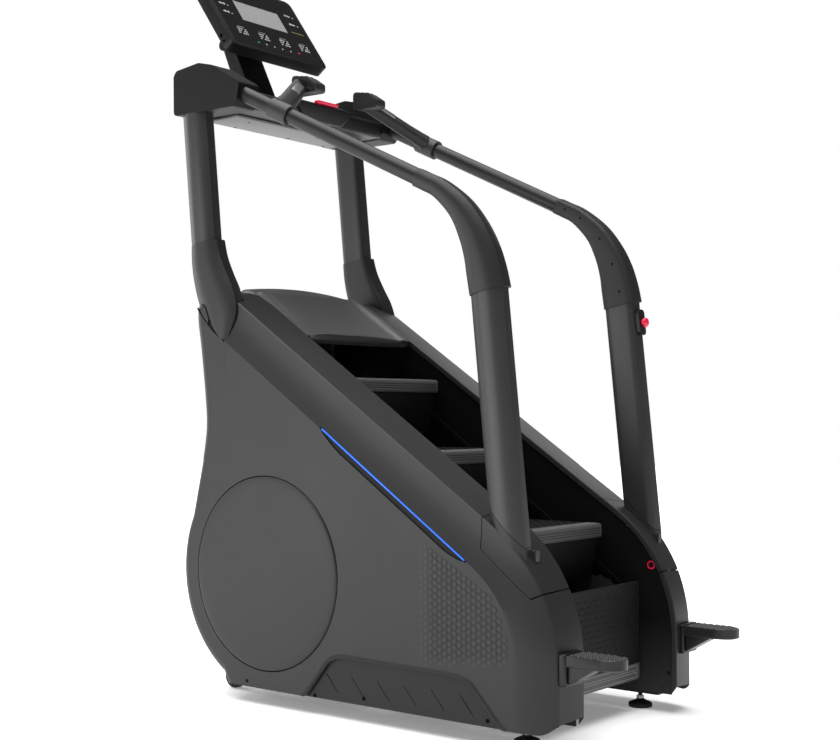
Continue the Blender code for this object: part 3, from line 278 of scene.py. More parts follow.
def box(low, high, bevel=0.0, segments=3):
    bm = bmesh.new()
    bmesh.ops.create_cube(bm, size=1.0)
    size = Vector(high) - Vector(low)
    middle = (Vector(high) + Vector(low)) / 2
    bmesh.ops.transform(bm, matrix=shift(*middle) @ Matrix.Diagonal((*size, 1)), verts=bm.verts)
    return bevelled(finish_mesh(bm), bevel, segments)


def rod(start, end, radius, radius_end=None, sides=32):
    start, end = Vector(start), Vector(end)
    axis = end - start
    bm = bmesh.new()
    last = radius if radius_end is None else radius_end
    bmesh.ops.create_cone(bm, cap_ends=True, segments=sides, radius1=radius, radius2=last, depth=axis.length)
    turn = axis.to_track_quat("Z", "Y").to_matrix().to_4x4()
    bmesh.ops.transform(bm, matrix=shift(*(start + end) / 2) @ turn, verts=bm.verts)
    return finish_mesh(bm)


def plate(outline, x_low, x_high, bevel=0.0, segments=3):
    """A flat outline of (y, z) points, given thickness along X."""
    curve = bpy.data.curves.new("outline", "CURVE")
    curve.dimensions = "2D"
    curve.fill_mode = "BOTH"
    curve.extrude = (x_high - x_low) / 2
    spline = curve.splines.new("POLY")
    spline.points.add(len(outline) - 1)
    for point, (y, z) in zip(spline.points, outline):
        point.co = (y, z, 0.0, 1.0)
    spline.use_cyclic_u = True
    mesh = as_mesh(scratch(curve))
    mesh.transform(shift((x_low + x_high) / 2, 0, 0) @ UPRIGHT)
    return bevelled(mesh, bevel, segments)


def turned(profile, steps, matrix=Matrix()):
    """A profile of (radius, height) points, turned about Z and then moved."""
    bm = bmesh.new()
    rows = []
    for r, h in profile:
        if r < 1e-6:
            rows.append([bm.verts.new((0, 0, h))])
        else:
            rows.append([bm.verts.new((r * cos(2 * pi * k / steps), r * sin(2 * pi * k / steps), h))
                         for k in range(steps)])
    for low, high in zip(rows, rows[1:]):
        for k in range(steps):
            j = (k + 1) % steps
            corners = [low[k % len(low)], low[j % len(low)], high[j % len(high)], high[k % len(high)]]
            unique = list(dict.fromkeys(corners))
            if len(unique) > 2:
                bm.faces.new(unique)
    mesh = finish_mesh(bm)
    mesh.transform(matrix)
    return mesh


def loft(rings, closed=False):
    """Joins rings of equally many points with quads; open ends are capped."""
    bm = bmesh.new()
    rows = [[bm.verts.new(p) for p in ring] for ring in rings]
    pairs = list(zip(rows, rows[1:]))
    if closed:
        pairs.append((rows[-1], rows[0]))
    for low, high in pairs:
        for i in range(len(low)):
            j = (i + 1) % len(low)
            bm.faces.new((low[i], low[j], high[j], high[i]))
    if not closed:
        bm.faces.new(rows[0][::-1])
        bm.faces.new(rows[-1])
    return finish_mesh(bm)


def skinned(bm, thickness, outward):
    """Gives an open surface a skin on its inner side; outward is a point well outside it."""
    bmesh.ops.recalc_face_normals(bm, faces=bm.faces)
    bm.normal_update()
    middle = max(bm.faces, key=lambda face: face.calc_area())
    if middle.normal.dot(Vector(outward) - middle.calc_center_median()) < 0:
        bmesh.ops.reverse_faces(bm, faces=bm.faces)
    mesh = bpy.data.meshes.new("skin")
    bm.to_mesh(mesh)
    bm.free()
    obj = scratch(mesh)
    solid = obj.modifiers.new("skin", "SOLIDIFY")
    solid.thickness = thickness
    solid.offset = -1.0
    return as_mesh(obj)


def grid_of(rows):
    bm = bmesh.new()
    grid = [[bm.verts.new(p) for p in row] for row in rows]
    for low, high in zip(grid, grid[1:]):
        for i in range(len(low) - 1):
            bm.faces.new((low[i], low[i + 1], high[i + 1], high[i]))
    return bm, grid


def sheet(rows, thickness, outward):
    return skinned(grid_of(rows)[0], thickness, outward)


def combine(mesh, others, operation, folded=False):
    """Unites a mesh with others, or cuts or crops it. folded: the mesh may cross itself a little."""
    obj = scratch(mesh)
    helpers = []
    for other in others:
        helper = scratch(other)
        step = obj.modifiers.new(operation, "BOOLEAN")
        step.operation = operation
        step.solver = "EXACT"
        step.use_self = folded
        step.object = helper
        helpers.append(helper)
    made = as_mesh(obj)
    for helper in helpers:
        bpy.data.objects.remove(helper)
    return made


def union(mesh, *others):
    return combine(mesh, others, "UNION")


def cut(mesh, *others):
    return combine(mesh, others, "DIFFERENCE")


def joined(meshes):
    """Several closed shapes as one mesh."""
    bm = bmesh.new()
    for mesh in meshes:
        bm.from_mesh(mesh)
        bpy.data.meshes.remove(mesh)
    made = bpy.data.meshes.new("group")
    bm.to_mesh(made)
    bm.free()
    return made


def moved(mesh, matrix):
    mesh.transform(matrix)
    return mesh


def mirrored(mesh):
    made = mesh.copy()
    made.transform(Matrix.Diagonal((-1, 1, 1, 1)))
    made.flip_normals()
    return made


def piece(name, mesh, surface, body="frame", replaces=(), smooth=30):
    mesh.transform(shift(0, -ORIGIN_Y, 0))
    obj = bpy.data.objects.new(name, mesh)
    bpy.context.scene.collection.objects.link(obj)
    mesh.materials.clear()
    mesh.materials.append(surface)
    mesh.shade_smooth()
    mesh.set_sharp_from_angle(angle=radians(smooth))
    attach(obj, body)
    if replaces:
        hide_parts(*replaces)
    return obj


def pair(name, mesh, surface, replaces=(), smooth=30):
    """The given left piece and its mirror image. replaces holds node names without their side."""
    for side, data in (("right_", mirrored(mesh)), ("left_", mesh)):
        piece(side + name, data, surface, "frame", [side + node for node in replaces], smooth)


def arc_point(a, corner, b, t):
    """A point of the curve that leaves a towards the corner and arrives at b."""
    return a * (1 - t) ** 2 + corner * 2 * t * (1 - t) + b * t ** 2


def rounded(corners, radius, steps=5):
    """A closed outline whose corners are replaced by arcs."""
    made = []
    count = len(corners)
    for i in range(count):
        here = Vector(corners[i])
        before, after = Vector(corners[i - 1]) - here, Vector(corners[(i + 1) % count]) - here
        half = before.angle(after) / 2
        reach = min(radius / max(sin(half) / cos(half), 1e-6), 0.45 * before.length, 0.45 * after.length)
        a, b = here + before.normalized() * reach, here + after.normalized() * reach
        made += [tuple(arc_point(a, here, b, k / steps)) for k in range(steps + 1)]
    return made


def smooth_curve(points, steps):
    """Catmull-Rom points through a list of points."""
    made = []
    points = [Vector(p) for p in points]
    for i in range(len(points) - 1):
        p0, p1, p2, p3 = (points[min(max(i + k, 0), len(points) - 1)] for k in (-1, 0, 1, 2))
        for k in range(steps):
            t = k / steps
            made.append(0.5 * (2 * p1 + (p2 - p0) * t + (2 * p0 - 5 * p1 + 4 * p2 - p3) * t * t
                               + (3 * p1 - p0 - 3 * p2 + p3) * t ** 3))
    made.append(points[-1])
    return made


def blend(low, high, t):
    return low + (high - low) * t


def unit(t):
    return min(max(t, 0.0), 1.0)


def ease(t):
    t = unit(t)
    return t * t * (3 - 2 * t)


def shift(x, y, z):
    return Matrix.Translation((x, y, z))


def spin(angle, axis):
    return Matrix.Rotation(angle, 4, axis)


def puck(radius, low, high, sides, place=Matrix()):
    """A short cylinder about Z, moved into place."""
    return turned(((0.0, low), (radius, low), (radius, high), (0.0, high)), sides, place)


def screw_head(at, normal, radius=0.0032, height=0.0012):
    """A pan head with a hexagon socket."""
    turn = Vector(normal).to_track_quat("Z", "Y").to_matrix().to_4x4()
    head = turned(((0.0, -0.001), (radius, -0.001), (radius, 0.4 * height), (radius * 0.86, height),
                   (radius * 0.5, height), (radius * 0.45, 0.2 * height), (0.0, 0.2 * height)), 12)
    return moved(head, Matrix.Translation(at) @ turn)


# ---- Side outline of the body -------------------------------------------------------------
def incline_z(y):
    start = (FRONT_Y + FRONT_ARC_R - FRONT_ARC_R * sin(INCLINE), FRONT_ARC_Z + FRONT_ARC_R * cos(INCLINE))
    return start[1] + (y - start[0]) * sin(INCLINE) / cos(INCLINE)


def body_outline():
    """Stations up the front, along the incline and down the rear: (point, inward normal, section shape)."""
    points = [Vector((FRONT_Y, 0.072 + 0.128 * k / 8)) for k in range(8)]
    shape = [FRONT_SHAPE] * len(points)
    centre = Vector((FRONT_Y + FRONT_ARC_R, FRONT_ARC_Z))
    turn = pi / 2 - INCLINE
    for k in range(41):
        points.append(centre + FRONT_ARC_R * Vector((-cos(turn * k / 40), sin(turn * k / 40))))
        shape.append([blend(a, b, ease(k / 40)) for a, b in zip(FRONT_SHAPE, TOP_SHAPE)])
    for k in range(25):
        y = 0.07 + 0.82 * k / 24
        points.append(Vector((y, incline_z(y))))
        shape.append(TOP_SHAPE)
    back = smooth_curve([(0.89, incline_z(0.89)), *REAR_CURVE], 8)[1:]
    for k in range(1, 41):
        a = radians(28) - radians(90) * k / 40
        back.append(DISC + BULGE_R * Vector((cos(a), sin(a))))
    for k, point in enumerate(back):
        points.append(point)
        t = 0.3 * unit((k + 1) / 8) + 0.4 * unit((k - 7) / 8) + 0.3 * unit((k - 15) / 6)
        shape.append([blend(a, b, t) for a, b in zip(TOP_SHAPE, REAR_SHAPE)])
    stations = []
    for i, point in enumerate(points):
        along = (points[min(i + 1, len(points) - 1)] - points[max(i - 1, 0)]).normalized()
        stations.append((point, Vector((along.y, -along.x)), shape[i]))
    return stations


def section(crease_x, drop, reach, bend_x, bend_inset):
    """(x, inset) of the cover's skin from the lip in the stairwell to the flat side."""
    made = [(INNER_X, LIP), (INNER_X, LIP * 0.4), (INNER_X, 0.0024), (INNER_X + 0.0008, 0.0008),
            (INNER_X + 0.0024, 0.0)]
    made += [(blend(INNER_X, crease_x, t), drop * t ** 1.3) for t in (0.15, 0.4, 0.65, 0.85)]
    made.append((crease_x - 0.003, drop * 0.96))
    crease, bend = Vector((crease_x, drop + 0.001)), Vector((bend_x, bend_inset))
    end = Vector((SIDE_X, reach))
    made += [tuple(arc_point(crease, bend, end, 0.02 + 0.98 * k / 14)) for k in range(15)]
    made.append((SIDE_X, reach + 0.005))
    return made


def bottom_rise(x):
    """How far a cover's lower edge at x is above the same edge at its inner side."""
    return COVER_BOTTOM_RISE * max(0.0, (abs(x) - INNER_X) / (SIDE_X - INNER_X))


def cover_point(station, first, last, x, inset):
    point, inward = station[:2]
    y, z = point + inward * inset
    if first:
        z = COVER_BOTTOM + 0.038 * max(0.0, 1 - inset / 0.05) ** 2
    if last:
        y, z = point.x - 1.1 * inset, COVER_BOTTOM
    if first or last:
        z += bottom_rise(x)
    return Vector((-x, y, z))


def side_cover_mesh():
    stations = body_outline()
    last = len(stations) - 1
    rows = [[cover_point(station, i == 0, i == last, x, inset) for x, inset in section(*station[2])]
            for i, station in enumerate(stations)]
    bm, grid = grid_of(rows)
    bm.faces.new([row[-1] for row in grid])
    return skinned(bm, SKIN, (-2.0, 0.5, 0.5))


# ---- D-shaped posts -----------------------------------------------------------------------
def d_section(half_x, half_y, ridge=0.42, count=12):
    """(outward, forward) points: round outside up to a ridge, then a flat facet, then a flat inner face."""
    spread = [-1 + k / count for k in range(2 * count + 1)]
    outer = [(1 - (1 - ridge) * abs(t) ** 2.4, 0.97 * t) for t in spread]
    facet = [(ridge - 0.03, 0.972), (-0.15, 0.95), (-0.7, 0.9), (-0.86, 0.83), (-0.96, 0.7), (-1.0, 0.5)]
    inner = [(-1.0, 0.0)]
    points = outer + facet + inner + [(o, -f) for o, f in reversed(facet)]
    return [(half_x * o, half_y * f) for o, f in points]


def ring(centre, tangent, half_x, half_y, x_centre, ridge=0.42):
    """A D section at centre (y, z), square to tangent (y, z), on the left side."""
    tangent = Vector(tangent).normalized()
    forward = Vector((-tangent.y, tangent.x))
    return [Vector((-(x_centre + o), centre[0] + f * forward.x, centre[1] + f * forward.y))
            for o, f in d_section(half_x, half_y, ridge)]


def cut_ring(points, tangent, height):
    """Slides ring points along tangent until z = height(y)."""
    made = []
    for p in points:
        slope = (height(p.y + 0.001) - height(p.y)) / 0.001
        travel = (height(p.y) - p.z) / (tangent[1] - slope * tangent[0])
        made.append(p + Vector((0, tangent[0], tangent[1])) * travel)
    return made


def foot_z(y):
    """The slanted cut at the foot of a front post."""
    return 0.468 + (y + 0.03) * 0.92


def lean(post, at):
    """The Y of a leaning post's axis at height at."""
    return post[1] + POST_LEAN * (at - post[2])


# Sections of the sleeves: y, z, half depth, then half width, or the outer and inner x
FRONT_SLEEVE = ((0.0735, 1.068, 0.0535, 0.031), (0.083, 1.115, 0.0515, 0.031),
                (0.096, 1.165, 0.0465, 0.03), (0.119, 1.218, 0.04, 0.0285),
                (0.156, 1.274, 0.032, 0.0265), (0.213, 1.3245, 0.0255, 0.024),
                (0.256, 1.347, 0.024, 0.0225), (0.285, 1.361, 0.024, 0.0215))
REAR_SLEEVE = ((0.944, 0.968, 0.009, 0.358, 0.345), (0.954, 1.004, 0.038, 0.3595, 0.322),
               (0.968, 1.052, 0.066, 0.3595, 0.304), (0.99, 1.105, 0.073, 0.3585, 0.297),
               (1.013, 1.155, 0.067, 0.3575, 0.2955), (1.031, 1.205, 0.059, 0.3565, 0.2945),
               (1.04, 1.253, 0.053, 0.3555, 0.2935))
SLEEVE_LEAN = 0.15


def front_post_ring(grow=0.0):
    return ring((lean(FRONT_POST, 0.8), 0.8), POST_DIRECTION, POST_HALF_X + grow, POST_HALF_Y + grow,
                FRONT_POST[0])


def front_post_top(y):
    return FRONT_SLEEVE[0][1] - 0.2021 * (y - FRONT_SLEEVE[0][0]) + 0.004


def front_post_solid(grow, foot):
    middle = front_post_ring(grow)
    return loft([cut_ring(middle, POST_DIRECTION, lambda y: foot_z(y) - foot), middle,
                 cut_ring(middle, POST_DIRECTION, front_post_top)])


def rear_sleeve_solid(grow, steps=6):
    rings = []
    for y, z, half_y, outer, inner in smooth_curve(REAR_SLEEVE, steps):
        rings.append(ring((y, z), (SLEEVE_LEAN, 1.0), (outer - inner) / 2 + grow, half_y + grow,
                          (outer + inner) / 2, 0.4))
    return loft(rings)


# ---- Body covers --------------------------------------------------------------------------
PATCH_OUTLINE = ((0.115, 0.62), (0.079, 0.535), (0.079, 0.458), (-0.057, 0.351), (-0.083, 0.363),
                 (-0.106, 0.377), (-0.16, 0.4), (-0.16, 0.62))
LED_START, LED_END = Vector((0.574, 0.736)), Vector((0.117, 0.429))
RECESS = ((0.628, 0.053), (0.55, 0.147), (0.51, 0.162), (0.136, 0.157), (0.101, 0.147), (0.01, 0.052))
FLOOR_X = SIDE_X - 0.0062       # floor of the low recess
SLEEVE_SEAM = ((1.042, 1.069), (1.017, 1.0385), (0.9846, 1.0068), (0.9526, 0.9838), (0.9367, 0.975))
CUT_X = (-0.4, -0.3)          # a cutter through a side cover's skin
RECESS_SCREWS = ((0.434, 0.063), (0.053, 0.06), (0.6, 0.05))
HEX_PITCH = 0.0167


def band(start, end, low, high):
    """The outline of a straight strip between two points, from low to high across."""
    across = Vector((-(end - start).y, (end - start).x)).normalized()
    return [start + across * low, start + across * high, end + across * high, end + across * low]


def patch_block(grow):
    """The prism that parts the post's base cover from the side cover."""
    middle = Vector((0.0, 0.46))
    return plate([middle + (Vector(p) - middle) * (1 + grow / 0.12) for p in PATCH_OUTLINE], -0.4, -0.2)


def offset_line(points, distance):
    """An open line of (y, z) points moved sideways."""
    made = []
    for i, p in enumerate(points):
        along = (Vector(points[min(i + 1, len(points) - 1)]) - Vector(points[max(i - 1, 0)])).normalized()
        made.append(Vector(p) + Vector((along.y, -along.x)) * -distance)
    return made


def recess_line():
    """The rim of the low recess, its corners eased, from the rear end to the front end."""
    line = [Vector(RECESS[0])]
    for i in range(1, len(RECESS) - 1):
        here, before, after = (Vector(RECESS[k]) for k in (i, i - 1, i + 1))
        a, b = here + (before - here).normalized() * 0.014, here + (after - here).normalized() * 0.014
        line += [arc_point(a, here, b, t) for t in (0, 0.25, 0.5, 0.75, 1)]
    line.append(Vector(RECESS[-1]))
    low = line[-1] + (line[-1] - line[-2]).normalized() * 0.02
    return [line[0] + (line[0] - line[1]).normalized() * 0.02, *line, low]


def led_leaf(grow=0.0):
    """The tapered recess under the light strip, as an outline of (y, z)."""
    along = LED_END - LED_START
    under = Vector((along.y, -along.x)).normalized()
    if under.y > 0:
        under = -under
    upper, lower = [], []
    for k in range(31):
        t = -0.012 + 1.024 * (0.5 - 0.5 * cos(pi * k / 30))     # closer together at both ends
        depth = 0.015 * unit(t / 0.14) ** 0.6 * unit((1 - t) / 0.1) ** 0.6
        here = LED_START + along * t
        upper.append(here - under * (0.0026 + grow))
        lower.append(here + under * (0.003 + grow + depth))
    return upper + lower[::-1]


def build_side_covers():
    shell = combine(side_cover_mesh(), [rear_sleeve_solid(0.0026)], "DIFFERENCE", folded=True)
    disc_hole = rod((CUT_X[0], *DISC), (CUT_X[1], *DISC), DISC_R + 0.0012, sides=128)
    recess_hole = plate([*offset_line(recess_line(), 0.003), (0.0, -0.1), (0.62, -0.1)], *CUT_X)
    for other in (disc_hole, plate(led_leaf(), *CUT_X), recess_hole, patch_block(0.003)):
        shell = cut(shell, other)
    pair("side_shell", shell, SHELL, replaces=("side_cover",), smooth=14)
    infill = [*offset_line(SLEEVE_SEAM, 0.002), (0.93, 0.885), (0.998, 0.885), (1.003, 0.95),
              (1.011, 1.01)]
    pair("side_infill", plate(infill, -(SIDE_X + 0.0002), -(SIDE_X - 0.0014)), SHELL)
    ribbon = offset_line(SLEEVE_SEAM, -0.0014) + offset_line(SLEEVE_SEAM, 0.0014)[::-1]
    pair("sleeve_seam", plate(ribbon, -(SIDE_X + 0.0006), -(SIDE_X - 0.002)), SEAM)


def bottom_z(x):
    return COVER_BOTTOM + bottom_rise(x) + 0.0008


def build_low_recess():
    """The sunk panel along the bottom of each side: rim, floor, slanting grooves and screws."""
    rim = ((0.005, SIDE_X - 0.0016), (0.004, SIDE_X + 0.0006), (0.0022, SIDE_X + 0.0016),
           (0.0, SIDE_X + 0.0018), (-0.0022, SIDE_X + 0.0008), (-0.0045, SIDE_X - 0.0022),
           (-0.0085, FLOOR_X + 0.0006), (-0.011, FLOOR_X))
    rows = [[Vector((-x, p.x, max(p.y, bottom_z(x)))) for p in offset_line(recess_line(), offset)]
            for offset, x in rim]
    rows.append([Vector((-FLOOR_X, blend(p.y, 0.315, 0.35), max(blend(p.z, 0.03, 0.55), bottom_z(FLOOR_X))))
                 for p in rows[-1]])
    bm, grid = grid_of(rows)
    bm.faces.new(grid[-1])
    pan = skinned(bm, 0.0022, (-2.0, 0.3, 0.1))
    grooves = []
    for k in range(6):
        top, foot = Vector((0.56 - 0.085 * k, 0.112)), Vector((0.52 - 0.085 * k, 0.067))
        outline = band(top, foot, -0.0016, 0.0016)
        grooves.append(plate(outline, -(FLOOR_X + 0.004), -(FLOOR_X - 0.0014), 0.0004, 1))
    # The recess pan in the darker charcoal: painted shade in the recess.
    pair("low_recess", cut(pan, *grooves), RECESS_SHADE, smooth=25)
    heads = [screw_head((-FLOOR_X, y, z), (-1, 0, 0), 0.0052, 0.002) for y, z in RECESS_SCREWS]
    heads.append(screw_head((-(SIDE_X - 0.0005), 0.842, 0.06), (-1, 0, 0), 0.0048, 0.0018))
    pair("recess_screws", joined(heads), SEAM)


def build_side_lights():
    # The bed of the recess under the light strip is dark: painted shade.
    pair("light_bed_shade", plate(led_leaf(0.0012), -(SIDE_X - 0.0034), -(SIDE_X - 0.0052)), BED_SHADE)
    outline = band(LED_START, LED_END, -0.0016, 0.0016)
    strip = plate(outline, -(SIDE_X + 0.0004), -(SIDE_X - 0.0045), 0.0006, 2)
    pair("light_strip", strip, BLUE, replaces=("led_strip",))


def stud(bm, y, z, rings):
    """A round stud on the flat side; rings are (radius, height) from its root out."""
    rows = [[bm.verts.new((-(SIDE_X + height), y + radius * cos(pi * k / 6), z + radius * sin(pi * k / 6)))
             for k in range(12)] for radius, height in rings]
    for low, high in zip(rows, rows[1:]):
        for k in range(12):
            bm.faces.new((low[k], low[k - 1], high[k - 1], high[k]))
    bm.faces.new(rows[-1])
    bm.faces.new(rows[0][::-1])


def build_hex_relief():
    """Domes in a honeycomb on the front of each flat side, lower towards the rear and the bottom. The domes
    are in a lighter charcoal, painted light, and the fuller ones sit in dark rings, painted shade between
    the domes.
    """
    edge_margin, light_margin, light_slope = 0.124, 0.034, 0.672
    domes, gaps = bmesh.new(), bmesh.new()
    arc = Vector((FRONT_Y + FRONT_ARC_R, FRONT_ARC_Z))
    for row in range(24):
        for column in range(24):
            y = HEX_PITCH * 0.866 * column
            z = 0.17 + HEX_PITCH * (row + 0.5 * (column % 2))
            fade = min(ease((0.29 - y) / 0.12), ease((z - 0.178 + 0.1 * y) / 0.055))
            inside = (Vector((y, z)) - arc).length < FRONT_ARC_R - edge_margin or y > arc.x
            under_light = LED_START.y + (y - LED_START.x) * light_slope - light_margin
            if not inside or z > under_light or fade < 0.16:
                continue
            width, lift = 0.55 + 0.45 * fade, 0.0015 * fade
            stud(domes, y, z, [(0.007 * width, -0.0006), (0.007 * width, 0.0001),
                               (0.0058 * width, 0.55 * lift), (0.0038 * width, 0.85 * lift),
                               (0.0018 * width, 0.98 * lift)])
            # Dark rings round the fuller domes: painted shade between them.
            if fade >= 0.5:
                outer = 0.0073 + 0.0006 * fade
                stud(gaps, y, z, [(outer, -0.0002), (outer, 0.00005), (0.0066, 0.00008), (0.006, -0.0002)])
    pair("hex_relief", finish_mesh(domes), LIT_RELIEF, smooth=60)
    pair("hex_gap_shade", finish_mesh(gaps), GAP_SHADE)


def build_patches():
    """The base cover of each front post: a patch of the side cover with a pedestal under the post."""
    base = front_post_ring(0.0002)
    rings = [cut_ring(base, POST_DIRECTION, lambda y: foot_z(y) - 0.0016)]
    for drop, shrink in ((0.03, 0.97), (0.06, 0.88), (0.09, 0.74)):
        low = cut_ring(base, POST_DIRECTION, lambda y: foot_z(y) - drop)
        centre = sum(low, Vector()) / len(low)      # lower rings are smaller and further in
        rings.append([Vector((centre.x + (p.x - centre.x) * shrink + 0.048 * (1 - shrink),
                              centre.y + (p.y - centre.y) * shrink, p.z)) for p in low])
    shell = combine(side_cover_mesh(), [patch_block(0.0)], "INTERSECT")
    patch = union(shell, loft(rings))
    pair("post_base_patch", patch, SHELL, replaces=("post_base_cover",), smooth=28)
    pair("post_base_tab", box((-0.3, -0.048, 0.431), (-0.283, -0.028, 0.457), 0.0007, 1), SHELL)


def build_discs():
    face = DISC_R - 0.0014
    place = shift(-(SIDE_X - 0.0036), *DISC) @ spin(-pi / 2, "Y")
    profile = ((0.0, -0.001), (face, -0.001), (face, 0.003), (face - 0.0008, 0.0046),
               (face - 0.003, 0.0058), (face - 0.008, 0.0068), (face - 0.03, 0.0076), (0.12, 0.0086),
               (0.0, 0.009))
    pair("disc", turned(profile, 160, place), SHELL, replaces=("disc_cover",), smooth=40)
    pair("disc_seat", puck(DISC_R + 0.008, -0.004, -0.0022, 96, place), SEAM)


HOOD_X = 0.2229
HOOD_LIP = (0.752, 0.984)
HOOD_CREST = (0.975, 1.15)


def hood_back(t):
    """The section from the crest over to the top of the rear cover."""
    crest = (HOOD_CREST[0], incline_z(HOOD_CREST[0] - 0.03) - 0.016)
    points = smooth_curve((crest, (1.02, 1.118), (1.05, 1.082), (1.0575, 1.0405)), 8)
    at = t * (len(points) - 1)
    low = min(int(at), len(points) - 2)
    return points[low].lerp(points[low + 1], at - low)


def hood_edge_lift(u):
    return 0.012 * ease((1 - abs(u)) / 0.1)


def hood_height(y, u):
    """Height of the hood from its lip to its crest: flanks along the incline, the middle scooped."""
    t = (y - HOOD_LIP[0]) / (HOOD_CREST[0] - HOOD_LIP[0])
    scoop = ease((blend(0.93, 0.84, unit(t)) - abs(u)) / 0.075)
    arch = max(0.0, 1 - (u / 0.9) ** 2)
    z = min(incline_z(y), incline_z(HOOD_CREST[0] - 0.03)) - 0.0015
    up = max(t, 0.0)
    z += 0.02 * (1 - u * u) * up ** 3 - 0.0145 * up ** 4 + hood_edge_lift(u) * up ** 2
    return z - scoop * (0.006 + 0.018 * arch) * (1 - unit(t) ** 4)


def edge_flange(line):
    """The return along one edge of the hood or the rear cover."""
    return plate(offset_line(line, -0.001) + offset_line(line, -0.027)[::-1], -0.2224, -0.2204)


def build_hood():
    """u runs from -1 to 1 across the hood."""
    side = (0.74, 0.8, 0.84, 0.87, 0.89, 0.905, 0.93, 0.96, 0.985, 1.0)
    rows, lips = [], []
    for u in (*[-u for u in side[::-1]], *[-0.68 + 0.08 * k for k in range(18)], *side):
        x = u * HOOD_X
        arch = max(0.0, 1 - (abs(u) / 0.95) ** 2.6)
        lip_y, lip_z = HOOD_LIP[0] + 0.026 * arch, HOOD_LIP[1] - 0.004
        line_y = lip_y + 0.0015 + 0.024 * arch
        line_z = hood_height(line_y, u)
        column = [Vector((x, lip_y + 0.004, lip_z - 0.01)), Vector((x, lip_y, lip_z))]
        for t in (0.25, 0.5, 0.75, 0.93):
            column.append(Vector((x, blend(lip_y, line_y, t ** 1.3), blend(lip_z, line_z, t))))
        lips.append([*column, Vector((x, line_y, line_z - 0.0022))])
        column = [Vector((x, line_y - 0.001, line_z - 0.0016))]
        for k in range(33):
            y = blend(line_y, HOOD_CREST[0], k / 32)
            column.append(Vector((x, y, hood_height(y, u))))
        swell = 1 - u * u
        for k in range(1, 25):
            t = k / 24
            y, z = hood_back(t)
            lift = (0.02 * swell + hood_edge_lift(u)) * (1 - t)
            column.append(Vector((x, y + 0.012 * swell * t, z + lift)))
        rows.append(column)
    # The hood in the lighter charcoal: painted light.
    piece("hood_shell", sheet(rows, SKIN, (0.0, 0.9, 3.0)), HOOD, replaces=("hood",), smooth=28)
    # The lip band under the hood's edge is in the dark plastic: painted shade on that band.
    piece("hood_lip", sheet(lips, SKIN, (0.0, -3.0, 1.2)), DARK, smooth=40)
    pair("hood_flange", edge_flange([(p.y, p.z) for p in rows[0]]), SEAM)


INLET_AT, INLET_TILT = (0.1, 1.102, 0.27), radians(-14)


def rear_y(back, z):
    return min(back, key=lambda p: abs(p.y - z)).x


def build_rear_cover():
    """u runs from -1 to 1 across the cover."""
    back = [Vector((1.0575, 1.0395)), *smooth_curve(REAR_CURVE, 8)[28:]]
    for k in range(31):
        a = radians(28 - 80 * k / 30)
        back.append(DISC + BULGE_R * Vector((cos(a), sin(a))))
    side = (0.2, 0.4, 0.6, 0.8, 0.9, 0.96, 0.985, 1)
    rows = []
    for i, point in enumerate(back):
        swell = ease(i / 12) * ease((len(back) - 1 - i) / 8)
        y = point.x + 0.012 - 0.0115 * (1 - ease(i / 4))
        row = []
        for u in (*[-u for u in side[::-1]], 0, *side):
            tuck = 0.004 * max(0.0, abs(u) - 0.97) / 0.03
            row.append(Vector((u * HOOD_X, y + 0.01 * swell * (1 - u * u) - tuck, point.y)))
        rows.append(row)
    cover = sheet(rows, SKIN, (0.0, 3.0, 0.7))
    pair("rear_flange", edge_flange([(row[0].y, row[0].z) for row in rows]), SEAM)
    socket = shift(*INLET_AT) @ spin(INLET_TILT, "X")
    opening = moved(box((-0.0252, -0.05, -0.0157), (0.0252, 0.05, 0.0157)), socket)
    slots = [moved(box((-0.085, -0.05, -0.0025 + 0.013 * k), (0.085, 0.05, 0.0025 + 0.013 * k), 0.002, 2),
                   shift(0.0, 1.035, 0.8)) for k in range(7)]
    piece("rear_shell", cut(cover, opening, *slots), SHELL, replaces=("rear_cover",), smooth=28)
    body = box((-0.0245, -0.034, -0.015), (0.0245, 0.004, 0.015), 0.002)
    flange = box((-0.03, 0.0005, -0.02), (0.03, 0.0035, 0.02), 0.0012)
    inlet = cut(union(body, flange), box((-0.0125, -0.013, -0.0088), (0.0125, 0.02, 0.0088), 0.001))
    pins = [box((x - 0.001, -0.014, z - 0.0025), (x + 0.001, -0.002, z + 0.0025), 0.0004, 1)
            for x, z in ((-0.007, -0.002), (0.0, 0.003), (0.007, -0.002))]
    piece("inlet_body", moved(inlet, socket), BLACK, replaces=("power_inlet",))
    piece("inlet_pins", moved(joined(pins), socket), STEEL)
    heads = [moved(screw_head((x, 0.0035, 0.0), (0, 1, 0), 0.0028), socket) for x in (-0.0262, 0.0262)]
    for z in (0.97, 0.6, 0.28):
        for x in (-0.205, 0.205):
            heads.append(screw_head((x, rear_y(back, z) + 0.0135, z), (0, 1, 0), 0.0045, 0.0016))
    piece("rear_screws", joined(heads), BLACK)


